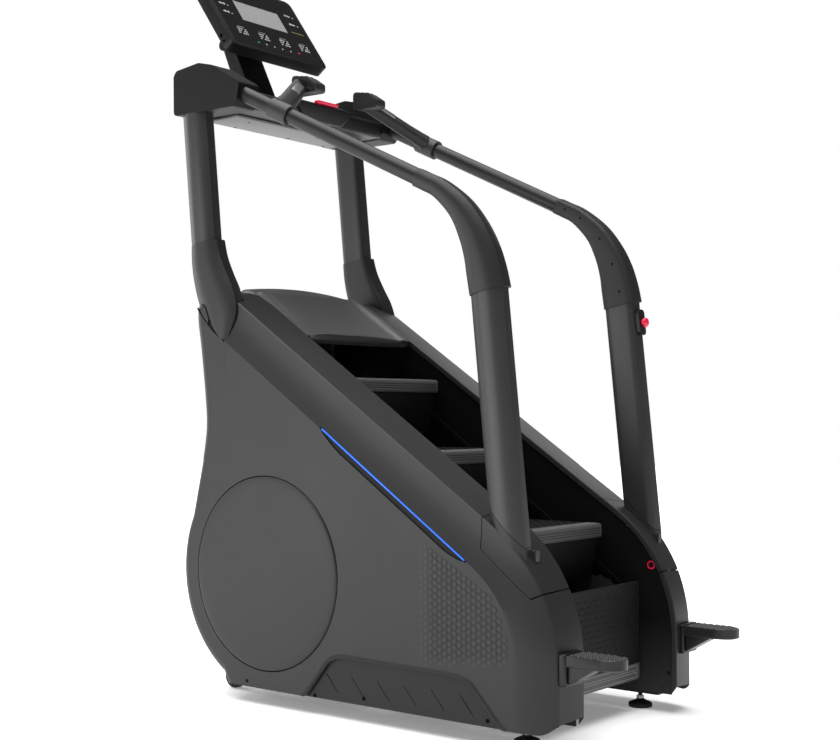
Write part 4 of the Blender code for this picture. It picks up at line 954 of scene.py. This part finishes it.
# ---- Posts, sleeves, rails ----------------------------------------------------------------
def build_posts():
    pair("front_post_shell", front_post_solid(0.0, 0.0), PAINT, replaces=("front_post",), smooth=24)
    pair("front_post_plug", front_post_solid(-0.004, 0.05), SEAM, smooth=24)
    middle = ring((lean(REAR_POST, 1.4), 1.4), POST_DIRECTION, POST_HALF_X, POST_HALF_Y, REAR_POST[0])
    sleeve_y, sleeve_z = REAR_SLEEVE[-1][:2]
    rear = loft([cut_ring(middle, POST_DIRECTION, lambda y: sleeve_z - SLEEVE_LEAN * (y - sleeve_y) - 0.004),
                 middle, cut_ring(middle, POST_DIRECTION, lambda y: 1.6214 + 0.0135 * (y - 1.006))])
    pair("rear_post_shell", rear, PAINT, replaces=("rear_post",), smooth=24)
    path = smooth_curve(FRONT_SLEEVE, 6)
    last = len(path) - 1
    rings = []
    for i, (y, z, half_y, half_x) in enumerate(path):
        before, after = path[max(i - 1, 0)], path[min(i + 1, last)]
        x = blend(FRONT_POST[0], RAIL_X, i / last)
        along = (after[0] - before[0], after[1] - before[1])
        rings.append(ring((y, z), along, half_x, half_y, x, blend(0.4, 0.55, i / len(path))))
    front = cut(loft(rings), oval_rail(0.0006, 0.001))
    pair("front_sleeve_shell", front, SLEEVE, replaces=("front_sleeve",), smooth=26)
    pair("rear_sleeve_shell", rear_sleeve_solid(0.0), SLEEVE, replaces=("rear_sleeve",), smooth=26)
    heads = []
    for i in (5, 14, 22, 29, 36):
        y, z, half_y, half_x = path[i]
        x = blend(FRONT_POST[0], RAIL_X, i / last)
        heads.append(screw_head((-(x - half_x), y - 0.25 * half_y, z), (1, 0, 0), 0.0034, 0.001))
    pair("sleeve_screws", joined(heads), SEAM)


def rail_ring(centre, grow, sides):
    """A ring of the handrail's oval section; centre is (y, z)."""
    along = (RAIL_HIGH - RAIL_LOW).normalized()
    up = Vector((-along.y, along.x)) * (RAIL_HALF_Z + grow)
    angles = [2 * pi * k / sides for k in range(sides)]
    wide = RAIL_HALF_X + grow
    return [Vector((-RAIL_X + wide * cos(a), centre.x + up.x * sin(a), centre.y + up.y * sin(a)))
            for a in angles]


def oval_rail(grow, extend=0.0):
    """A straight oval tube from the front sleeve to the corner box."""
    more = (RAIL_HIGH - RAIL_LOW).normalized() * extend
    return loft([rail_ring(RAIL_LOW - more, grow, 48), rail_ring(RAIL_HIGH + more, grow, 48)])


BOX_OUTLINE = ((1.154, 1.622), (1.156, 1.735), (1.145, 1.75), (1.052, 1.76), (1.000, 1.747),
               (0.89, 1.684), (0.898, 1.64), (0.912, 1.619), (1.006, 1.62))
BOX_OUTER_X, BOX_INNER_X = 0.35, 0.27


def build_rails():
    pair("handrail_tube", oval_rail(0.0), RAIL, replaces=("handrail",))
    corner = plate(rounded(BOX_OUTLINE, 0.014, 5), -BOX_OUTER_X, -BOX_INNER_X, 0.0075, 4)
    corner = cut(corner, oval_rail(0.0006, 0.001))
    pair("corner_box_shell", corner, CORNER, replaces=("corner_box",), smooth=28)
    spots = ((0.93, 1.6197), (1.13, 1.6222))
    heads = [screw_head((-0.31, y, z), (0, 0, -1), 0.0036, 0.001) for y, z in spots]
    pair("corner_box_screws", joined(heads), BLACK)


ELBOW = Vector((-0.134, 0.862, 1.706))
HEAD_OUTLINE = ((0.88, 1.735), (0.824, 1.725), (0.787, 1.701), (0.787, 1.678), (0.88, 1.68))
GRIP_Y = 0.757


def arm_axes(direction):
    forward = direction.normalized()
    across = forward.cross(Vector((-0.2, -0.8, 0.55))).normalized()
    return across, across.cross(forward)


def arm_ring(centre, direction, wide, deep, count=36, power=3.0):
    across, up = arm_axes(direction)
    made = []
    for k in range(count):
        a = 2 * pi * k / count
        size = (abs(cos(a)) ** power + abs(sin(a)) ** power) ** (-1 / power)
        made.append(centre + across * (wide * cos(a) * size) + up * (deep * sin(a) * size))
    return made


def rail_point(y):
    """The centre of the handrail at y, as (y, z)."""
    return RAIL_LOW.lerp(RAIL_HIGH, (y - RAIL_LOW.x) / (RAIL_HIGH.x - RAIL_LOW.x))


def build_grips():
    low, high = GRIP_Y - 0.034, GRIP_Y + 0.034
    ends = ((low, -0.0016), (low + 0.0015, 0.0), (high - 0.0015, 0.0), (high, -0.0016))
    collar = loft([rail_ring(rail_point(y), 0.007 + more, 40) for y, more in ends])
    root = Vector((-RAIL_X, *rail_point(GRIP_Y + 0.004))) + Vector((0.006, 0.0, 0.008))
    direction = ELBOW - root
    shape = ((0.0, 0.028, 0.021), (0.12, 0.027, 0.019), (0.3, 0.026, 0.018), (0.7, 0.025, 0.018),
             (1.03, 0.024, 0.018))
    arm = loft([arm_ring(root.lerp(ELBOW, t), direction, wide, deep) for t, wide, deep in shape])
    head = plate(rounded(HEAD_OUTLINE, 0.012, 6), ELBOW.x - 0.018, ELBOW.x + 0.022, 0.005, 4)
    body = joined([cut(collar, oval_rail(0.0004, -0.01)), arm, head])
    pair("grip_body", body, GRIP, replaces=("grip",), smooth=32)
    across, up = arm_axes(direction)
    place = Matrix((across, direction.normalized(), up)).transposed().to_4x4()
    place.translation = root.lerp(ELBOW, 0.68)
    pulse = moved(box((-0.0125, -0.034, 0.012), (0.0125, 0.034, 0.0192), 0.0022), place)
    pair("pulse_contact", pulse, SILVER, replaces=("pulse_plate",))
    # A black plate on the outer side of each grip's head, cut to a rounded window.
    side = plate(rounded(HEAD_OUTLINE, 0.012, 6), ELBOW.x - 0.019, ELBOW.x - 0.015)
    corners = ((0.866, 1.72), (0.824, 1.714), (0.795, 1.695), (0.795, 1.684), (0.866, 1.684))
    window = plate(rounded(corners, 0.006, 4), -0.2, -0.1)
    pair("grip_head_dark_face", combine(side, [window], "INTERSECT"), BLACK)
    keys, rims = [], []
    crown = shift(ELBOW.x + 0.002, 0.85, 1.7292) @ spin(radians(9.2), "X")
    key = ((0.0, -0.001), (0.0056, -0.001), (0.0056, 0.0016), (0.0046, 0.0025), (0.0, 0.0027))
    rim = ((0.0056, -0.001), (0.007, -0.001), (0.007, 0.0016), (0.0056, 0.0016), (0.0056, -0.001))
    for row in range(2):
        for column in range(3):
            at = crown @ shift(-0.008 + 0.017 * row, -0.018 + 0.0175 * column, 0.0)
            keys.append(turned(key, 24, at))
            rims.append(turned(rim, 24, at))
    pair("grip_keys", joined(keys), PALE)
    pair("grip_key_rims", joined(rims), BLACK)


# ---- Dash, mast and console ---------------------------------------------------------------
DASH_BOTTOM, DASH_TOP, DASH_FRONT, DASH_REAR = 1.622, 1.672, 0.885, 1.112
CONSOLE_TILT = radians(54.7)
CONSOLE_EDGE = (1.064, 1.848)
CONSOLE_HALF_X, CONSOLE_HEIGHT, CONSOLE_DEPTH = 0.2045, 0.297, 0.036
CONSOLE_HINGE = (0.147, -0.118)
ARM_X = 0.0575


def build_dash():
    outline = ((DASH_REAR, DASH_BOTTOM), (DASH_REAR, 1.69), (1.085, 1.704), (0.985, 1.69),
               (0.905, DASH_TOP), (0.896, 1.66), (0.905, DASH_BOTTOM))
    tray = plate(rounded(outline, 0.01, 5), -(BOX_INNER_X - 0.0006), BOX_INNER_X - 0.0006, 0.003)
    scoops = [box((x - 0.05, 0.925, 1.655), (x + 0.05, 1.055, 1.8), 0.02, 5) for x in (-0.205, 0.205)]
    piece("dash_body", cut(tray, *scoops), DARK, replaces=("dash_tray",), smooth=28)
    front, top = DASH_FRONT, DASH_TOP + 0.002
    nose = [[Vector((-low_x, y_low, z_low)), Vector((low_x, y_low, z_low)), Vector((high_x, y_high, z_high)),
             Vector((-high_x, y_high, z_high))] for low_x, y_low, z_low, high_x, y_high, z_high in
            ((0.073, front + 0.006, 1.624, 0.128, front, top), (0.073, 0.96, 1.63, 0.128, 0.96, 1.694))]
    block = bevelled(loft(nose), 0.004, 3)
    key_seat = box((-0.016, front + 0.01, 1.6685), (0.016, front + 0.028, 1.75))
    piece("dash_nose", cut(block, key_seat), BLACK, smooth=28)
    key = box((-0.045, front - 0.01, 1.6765), (0.045, front + 0.008, 1.6848), 0.0036, 4)
    stem = box((-0.012, front + 0.004, 1.6772), (0.012, front + 0.026, 1.6827), 0.001)
    lug = box((-0.01, front + 0.013, 1.6705), (0.01, front + 0.025, 1.679))
    piece("safety_key_tab", union(key, stem, lug), RED, "safety_key", replaces=("safety_key",))
    slope = shift(0.0, 0.932, 1.6886) @ spin(radians(15.0), "X")
    panel = box((-0.105, -0.02, 0.0), (0.105, 0.022, 0.0016), 0.0014)
    piece("key_panel", moved(panel, slope), PALE)
    spot = box((0.03, -0.004, 0.0014), (0.044, 0.004, 0.0022), 0.0005, 1)
    piece("green_mark", moved(spot, slope), GREEN)
    heads = [screw_head((x, 0.01, 0.0014), (0, 0, 1), 0.004) for x in (-0.088, 0.088)]
    piece("dash_screw", moved(joined(heads), slope), BLACK)
    under = box((-0.262, 0.986, 1.6135), (0.262, 1.1115, DASH_BOTTOM - 0.0004), 0.003)
    piece("dash_underside", under, GREY, replaces=("dash_bottom_plate",))
    spots = ((-0.185, 1.018), (-0.16, 1.101), (0.057, 1.095), (0.107, 1.021), (0.22, 1.1))
    heads = [screw_head((x, y, 1.6135), (0, 0, -1), 0.0042) for x, y in spots]
    piece("underside_screws", joined(heads), BLACK)


def console_frame():
    """Maps (x, up the face, out of the face) to the machine."""
    up = Vector((0.0, cos(CONSOLE_TILT), sin(CONSOLE_TILT)))
    out = Vector((0.0, -sin(CONSOLE_TILT), cos(CONSOLE_TILT)))
    made = Matrix((Vector((1, 0, 0)), up, out)).transposed().to_4x4()
    made.translation = Vector((0.0, *CONSOLE_EDGE))
    return made


def slab(half_x, low, high, back, front, radius, bevel, middle=0.0, segments=3):
    """A rounded rectangle in the console's own plane."""
    corners = rounded(((-half_x, low), (half_x, low), (half_x, high), (-half_x, high)), radius, 6)
    mesh = plate(corners, back, front, bevel, segments)
    mesh.transform(shift(middle, 0, 0) @ UPRIGHT.inverted())
    return mesh


def mark(x, y, wide, high, lift=0.0005):
    """A flat rectangle printed on the console's face."""
    return box((x - wide / 2, y - high / 2, 0.0), (x + wide / 2, y + high / 2, lift))


def wedge(x, y, size, point):
    """A printed triangle that points to -X or +X."""
    back = x - point * size * 0.7
    corners = [(x + point * size, y), (back, y + 0.55 * size), (back, y - 0.55 * size)]
    return moved(plate(corners, 0.0, 0.0006), UPRIGHT.inverted())


def build_console():
    place = console_frame()
    shell = slab(CONSOLE_HALF_X, 0.0, CONSOLE_HEIGHT, -CONSOLE_DEPTH, 0.0, 0.026, 0.0085, segments=5)
    hump = slab(0.098, 0.05, 0.24, -CONSOLE_DEPTH - 0.026, -0.02, 0.03, 0.006)
    up, out = CONSOLE_HINGE
    lug = ((up - 0.055, -0.05), (up + 0.06, -0.05), (up + 0.017, out - 0.004), (up + 0.008, out - 0.016),
           (up - 0.008, out - 0.016), (up - 0.017, out - 0.004))
    arms = []
    for side in (-1, 1):
        low, high = sorted((side * ARM_X, side * (ARM_X + 0.015)))
        arms.append(plate(lug, low, high))
        arms.append(rod((low + 0.0005, up, out), (high - 0.0005, up, out), 0.0185, sides=48))
    shell = union(shell, hump, *arms)
    ports = [box((-0.215, 0.029, -0.0265), (-0.196, 0.037, -0.0205), 0.0005, 1),
             box((-0.215, 0.048, -0.028), (-0.196, 0.059, -0.019), 0.0005, 1)]
    shell = cut(shell, rod((-0.2, up, out), (0.2, up, out), 0.0062), *ports)
    shell = cut(shell, slab(0.188, 0.014, CONSOLE_HEIGHT - 0.014, -0.0022, 0.02, 0.017, 0.0))
    piece("console_housing", moved(shell, place), DARK, "console", replaces=("console_shell",), smooth=28)
    face = slab(0.1872, 0.0148, CONSOLE_HEIGHT - 0.0148, -0.002, 0.0001, 0.0165, 0.0005, segments=1)
    piece("console_panel", moved(face, place), GLASS, "console", replaces=("console_face",))

    low_x, high_x, low_up, high_up = -0.091, 0.1, 0.13, 0.2125
    middle_x, middle_up = (low_x + high_x) / 2, (low_up + high_up) / 2
    wide, tall = high_x - low_x, high_up - low_up
    hatch = [mark(low_x + wide * (k + 0.5) / 15, middle_up, 0.0016, tall - 0.004, 0.0006) for k in range(15)]
    hatch += [mark(middle_x, low_up + tall * (k + 0.5) / 8, wide - 0.004, 0.0014, 0.0006) for k in range(8)]
    icons = []
    for x, y, point in ((-0.158, 0.182, -1), (-0.158, 0.147, -1), (0.143, 0.2185, 1), (0.143, 0.18, 1)):
        icons += [wedge(x, y, 0.0085, point), wedge(x + 0.013, y, 0.0085, point),
                  mark(x + 0.03, y - 0.002, 0.005, 0.003)]
    for x in (-0.125, -0.0357, 0.0532, 0.14):
        icons += [mark(x - 0.016 + 0.008 * column, 0.0815 - 0.0095 * row, 0.0058, 0.0046)
                  for row in range(3) for column in range(5) if (row + column) % 4 < 3]
        icons.append(mark(x, 0.0905, 0.03, 0.0012))
    for x in (-0.0445, -0.0109, 0.024, 0.0591):
        icons.append(puck(0.0026, 0.0, 0.0006, 16, shift(x, 0.0385, 0.0)))
    halt = puck(0.0038, 0.0, 0.0008, 20, shift(0.0966, 0.0403, 0.0))
    prints = (("console_screen", [mark(middle_x, middle_up, wide, tall, 0.0004)], SCREEN),
              ("screen_hatch", hatch, PALE), ("console_icons", icons, PRINT),
              ("console_line", [mark(0.152, 0.1412, 0.056, 0.0022)], YELLOW),
              ("start_key", [mark(-0.0776, 0.0392, 0.01, 0.004)], GREEN), ("halt_key", [halt], RED))
    for name, shapes, surface in prints:
        piece(name, moved(joined(shapes), place), surface, "console")
    heads = [screw_head((x, y, -CONSOLE_DEPTH), (0, 0, -1), 0.0042)
             for x in (-0.185, 0.185) for y in (0.03, 0.265)]
    piece("console_screws", moved(joined(heads), place), BLACK, "console")


# ---- Stop button, pegs, feet, wheels ------------------------------------------------------
STOP_Z = 1.021


def build_stop_button():
    x, y = FRONT_POST[0], lean(FRONT_POST, STOP_Z) - POST_HALF_Y
    corners = rounded(((-0.015, -0.035), (0.015, -0.035), (0.015, 0.035), (-0.015, 0.035)), 0.0145, 8)
    block = plate(corners, -0.0085, 0.004, 0.0025, 3)
    block.transform(shift(x, y - 0.0006, STOP_Z) @ spin(POST_LEAN, "X").inverted() @ spin(-pi / 2, "Z")
                    @ spin(pi, "Z"))
    bore = rod((x, y - 0.05, STOP_Z), (x, y + 0.001, STOP_Z), 0.0085, sides=48)
    piece("stop_case", cut(block, bore), BLACK, replaces=("stop_housing",))
    seat = shift(x, y - 0.0006, STOP_Z) @ spin(pi / 2, "X")
    profile = ((0.0, 0.005), (0.008, 0.005), (0.008, 0.013), (0.0118, 0.0134), (0.0128, 0.0145),
               (0.0128, 0.019), (0.012, 0.0212), (0.0095, 0.023), (0.005, 0.024), (0.0, 0.0242))
    piece("stop_head", turned(profile, 48, seat), RED, "stop_button", replaces=("stop_button",), smooth=35)


PEG_X, PEG_TOP = 0.277, 0.23


def build_pegs():
    face = FRONT_Y + 0.006
    bracket = box((-PEG_X - 0.042, face - 0.016, 0.155), (-PEG_X + 0.034, face + 0.004, PEG_TOP), 0.004, 3)
    pair("peg_bracket_shell", bracket, BLACK, replaces=("peg_bracket",))
    root = face - 0.0165
    toe = smooth_curve(((-0.036, -0.085), (-0.0305, -0.112), (-0.017, -0.1295), (0.0, -0.134),
                        (0.017, -0.1295), (0.0305, -0.112), (0.036, -0.085)), 4)
    rows = [[Vector((-PEG_X - 0.004 + x * shrink, root + y * shrink, PEG_TOP - down))
             for x, y in ((-0.036, 0.0), *toe, (0.036, 0.0))]
            for down, shrink in ((0.0025, 0.975), (0.004, 1.0), (0.026, 1.0), (0.0285, 0.95))]
    under = PEG_TOP - 0.02
    rib = plate(((root, 0.16), (root, under), (root - 0.085, under), (root - 0.075, 0.203)),
                -PEG_X - 0.034, -PEG_X + 0.026, 0.003)
    pair("peg_body", union(loft(rows), rib), PEG_TOP_FINISH, replaces=("footpeg",), smooth=35)
    stud_profile = ((0.0, -0.001), (0.005, -0.001), (0.0046, 0.0), (0.0018, 0.0024), (0.0, 0.0025))
    bumps = []
    for row in range(14):
        for column in range(6):
            x = -0.0285 + 0.0108 * column + 0.0054 * (row % 2)
            y = -0.008 - 0.0088 * row
            limit = 0.031 if y > -0.095 else 0.031 * max(0.0, 1 - ((y + 0.095) / -0.036) ** 2) ** 0.5
            if abs(x) < limit:
                at = shift(-PEG_X - 0.004 + x, root + y, PEG_TOP - 0.0026)
                bumps.append(turned(stud_profile, 4, at @ Matrix.Diagonal((0.95, 1.25, 1.0, 1.0))))
    pair("peg_bumps", joined(bumps), PEG_TOP_FINISH, smooth=20)


FOOT_X, FOOT_R = 0.267, 0.0315
WHEEL_X, WHEEL_Y, WHEEL_R = 0.225, 1.02, 0.033


def build_feet():
    profile = ((0.0, 0.0), (FOOT_R - 0.0015, 0.0), (FOOT_R, 0.0015), (FOOT_R, 0.0085),
               (FOOT_R - 0.0015, 0.0105), (0.026, 0.0125), (0.0125, 0.0178), (0.011, 0.02),
               (0.006, 0.0202), (0.0055, 0.0405), (0.0, 0.0405))
    at = shift(-FOOT_X, 0.0, 0.0)
    pair("foot_pad", turned(profile, 64, at), RUBBER, replaces=("front_foot",), smooth=35)
    pair("foot_nut", puck(0.01, 0.022, 0.029, 6, at), STEEL)
    half = ((0.0, 0.01), (0.0115, 0.0118), (0.015, 0.0085), (0.0265, 0.0085), (WHEEL_R - 0.0035, 0.012),
            (WHEEL_R - 0.001, 0.011), (WHEEL_R, 0.0085))
    profile = [(r, -h) for r, h in half] + list(half[::-1])
    for side, word in ((-1, "left"), (1, "right")):
        at = shift(side * WHEEL_X, WHEEL_Y, WHEEL_R) @ spin(pi / 2, "Y")
        wheel = turned(profile, 64, at)
        piece(word + "_tyre", wheel, RUBBER, word + "_wheel", replaces=(word + "_wheel",), smooth=35)


def build_inner_details():
    """The standby ring, a small green lamp, a hole plug and a cap on the right inner wall."""
    def on_wall(y, z):
        return shift(0.2295, y, z) @ spin(-pi / 2, "Y")

    ring_profile = ((0.0076, -0.002), (0.0112, -0.002), (0.0112, 0.0016), (0.0104, 0.0026), (0.0084, 0.0026),
                    (0.0076, 0.0014), (0.0076, -0.002))
    face = ((0.0, -0.002), (0.0074, -0.002), (0.0074, 0.001), (0.0, 0.0014))
    lamp = ((0.0, -0.001), (0.0034, -0.001), (0.003, 0.0008), (0.0, 0.001))
    plug = ((0.0, -0.001), (0.0052, -0.001), (0.0046, 0.0006), (0.0, 0.0004))
    cap = ((0.0, -0.001), (0.0125, -0.001), (0.0125, 0.001), (0.011, 0.0018), (0.0, 0.0018))
    button = on_wall(-0.0554, 0.3797)
    piece("standby_ring", turned(ring_profile, 48, button), RED, replaces=("standby_button",), smooth=40)
    piece("standby_face", turned(face, 32, button), BLACK)
    piece("standby_lamp", turned(lamp, 24, on_wall(-0.076, 0.379)), GREEN)
    piece("wall_plug", turned(plug, 24, on_wall(-0.104, 0.105)), SEAM)
    piece("wall_cap", turned(cap, 40, on_wall(-0.095, 0.062)), SHADED_WALL, smooth=40)


# ---- Steps --------------------------------------------------------------------------------
STEP_RUN, STEP_RISE = 0.2755, 0.194
STEP_HALF_WIDTH, TREAD_DEPTH = 0.204, 0.254
PIN_BACK, PIN_DOWN = 0.102, 0.0508
PITCH = hypot(STEP_RUN, STEP_RISE)
CHAIN_ANGLE = atan2(STEP_RISE, STEP_RUN)
SPROCKET_R = PITCH / pi
CHAIN_SPAN = 2.5 * PITCH
LOWER_AXLE = Vector((0.1056, 0.2476))
UPPER_AXLE = LOWER_AXLE + Vector((cos(CHAIN_ANGLE), sin(CHAIN_ANGLE))) * CHAIN_SPAN
STEP_BODIES = ("upper_steps",) * 3 + ("front_step",) + ("return_steps",) * 2 + ("top_step",)


def chain_place(travel):
    """Pin position (y, z) and turn of a step, travel metres of chain past the upper sprocket's top."""
    down = Vector((-cos(CHAIN_ANGLE), -sin(CHAIN_ANGLE)))
    out = Vector((-sin(CHAIN_ANGLE), cos(CHAIN_ANGLE)))
    if travel <= CHAIN_SPAN:
        return UPPER_AXLE + out * SPROCKET_R + down * travel, 0.0
    travel -= CHAIN_SPAN
    if travel <= PITCH:
        turn = travel / SPROCKET_R
        return LOWER_AXLE + Matrix.Rotation(turn, 2) @ out * SPROCKET_R, turn
    travel -= PITCH
    return LOWER_AXLE - out * SPROCKET_R - down * travel, pi


def step_mesh():
    """One step with its nose at the origin: tread, skirt and riser, end brackets and chain pin."""
    outline = [(TREAD_DEPTH, 0.0), (TREAD_DEPTH, -0.01), (0.24, -0.013), (0.03, -0.013), (0.02, -0.036),
               (0.0405, -0.148), (0.0385, -0.151), (0.035, -0.151), (0.013, -0.04), (0.004, -0.036),
               (0.001, -0.034), (0.000, -0.03), (0.000, -0.009), (0.0007, -0.0055), (0.0025, -0.0028),
               (0.0055, -0.0008), (0.01, 0.0)]
    mesh = plate(outline, -STEP_HALF_WIDTH, STEP_HALF_WIDTH)
    others = []
    for side in (-1, 1):
        low, high = sorted((side * 0.186, side * 0.198))
        others.append(plate(((0.06, -0.008), (0.15, -0.008), (0.118, -0.066), (0.086, -0.066)), low, high))
    others.append(rod((-0.2105, PIN_BACK, -PIN_DOWN), (0.2105, PIN_BACK, -PIN_DOWN), 0.007, sides=20))
    return union(mesh, *others)


def tread_relief():
    """Staggered raised crescents between plain margins."""
    bm = bmesh.new()
    for row in range(12):
        for column in range(11):
            x0 = -0.165 + 0.033 * column + 0.0165 * (row % 2) - 0.008
            y0 = 0.056 + 0.0152 * row
            rings = []
            for k in range(9):
                s = -1 + 2 * k / 8
                half = 0.0027 * max(0.12, (1 - s * s)) ** 0.7
                x, y = x0 + 0.015 * s, y0 + 0.0062 * (1 - s * s)
                top = 0.002 * max(0.15, 1 - s ** 4)
                corners = ((x, y - half, -0.0006), (x, y - half * 0.3, top), (x, y + half, -0.0006))
                rings.append([bm.verts.new(p) for p in corners])
            for low, high in zip(rings, rings[1:]):
                for i in range(3):
                    j = (i + 1) % 3
                    bm.faces.new((low[i], low[j], high[j], high[i]))
            bm.faces.new(rings[0])
            bm.faces.new(rings[-1][::-1])
    return finish_mesh(bm)


def nosing_lines():
    """Long closed outlines along the nose."""
    lines = []
    for low, high in ((0.0085, 0.0205), (0.0265, 0.0385)):
        for y in (low, high):
            lines.append(box((-0.19, y - 0.0007, -0.0004), (0.19, y + 0.0007, 0.0013), 0.0003, 1))
        for x in (-0.19, 0.19):
            lines.append(box((x - 0.0007, low, -0.0004), (x + 0.0007, high, 0.0013), 0.0003, 1))
    return joined(lines)


def nose_bar():
    """The lighter bar along the front edge of a tread."""
    outline = ((0.044, 0.0007), (0.01, 0.0007), (0.0052, -0.0002), (0.002, -0.0022), (0.0001, -0.0053),
               (-0.0006, -0.009), (-0.0006, -0.03), (0.0006, -0.0345), (0.004, -0.0366), (0.004, -0.01),
               (0.01, -0.004), (0.044, -0.002))
    return plate(outline, -STEP_HALF_WIDTH - 0.0004, STEP_HALF_WIDTH + 0.0004, 0.0004, 1)


def tread_pad():
    half = STEP_HALF_WIDTH - 0.001
    return box((-half, 0.0455, -0.001), (half, TREAD_DEPTH - 0.001, 0.0005), 0.0004, 1)


def skirt_ribs():
    return joined([box((-0.196, -0.0007, z - 0.0011), (0.196, 0.001, z + 0.0011), 0.0004, 1)
                   for z in (-0.012, -0.018, -0.024)])


def build_steps():
    parts = (("plate", step_mesh(), RISER, 30), ("pad", tread_pad(), TREAD, 30),
             ("relief", tread_relief(), CRESCENT_HIGHLIGHT, 50), ("bar", nose_bar(), NOSE, 40),
             ("nosing", nosing_lines(), LINE, 30), ("ribs", skirt_ribs(), RISER, 30))
    for i, body in enumerate(STEP_BODIES):
        pin, turn = chain_place(i * PITCH)
        at = shift(0.0, *pin) @ spin(turn, "X") @ shift(0.0, -PIN_BACK, PIN_DOWN)
        for word, mesh, surface, smooth in parts:
            replaces = ("step_%d" % (i + 1),) if word == "plate" else ()
            part = moved(mesh.copy(), at)
            piece("stair_%d_%s" % (i + 1, word), part, surface, body, replaces, smooth)


# ---- CAD pieces shown as they are ---------------------------------------------------------
def dress_nodes():
    looks = {"base_frame": FRAME_PAINT, "brake_unit": FRAME_PAINT, "console_mast": DARK,
             "drive_shaft": STEEL, "idler_shaft": STEEL, "flywheel": STEEL, "left_chain": CHAIN_STEEL,
             "right_chain": CHAIN_STEEL, "left_inner_panel": SHADED_WALL, "right_inner_panel": SHADED_WALL}
    for name, surface in looks.items():
        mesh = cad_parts[name].data
        mesh.materials.clear()
        mesh.materials.append(surface)
        mesh.shade_smooth()
        mesh.set_sharp_from_angle(angle=radians(30))


def build_floor():
    bm = bmesh.new()
    bmesh.ops.create_grid(bm, x_segments=8, y_segments=8, size=14.0)
    mesh = bpy.data.meshes.new("floor")
    bm.to_mesh(mesh)
    bm.free()
    floor = bpy.data.objects.new("floor", mesh)
    floor.location = (0.0, 0.0, -0.0005)
    bpy.context.scene.collection.objects.link(floor)
    pale = finish("pale_floor", 246, 0.8, grain=0.0, scale=40, spread=0.01, specular=0.1, glow=0.25)
    mesh.materials.append(pale)


build_floor()
dress_nodes()
build_side_covers()
build_low_recess()
build_side_lights()
build_hex_relief()
build_patches()
build_discs()
build_hood()
build_rear_cover()
build_posts()
build_rails()
build_grips()
build_dash()
build_console()
build_stop_button()
build_pegs()
build_feet()
build_inner_details()
build_steps()
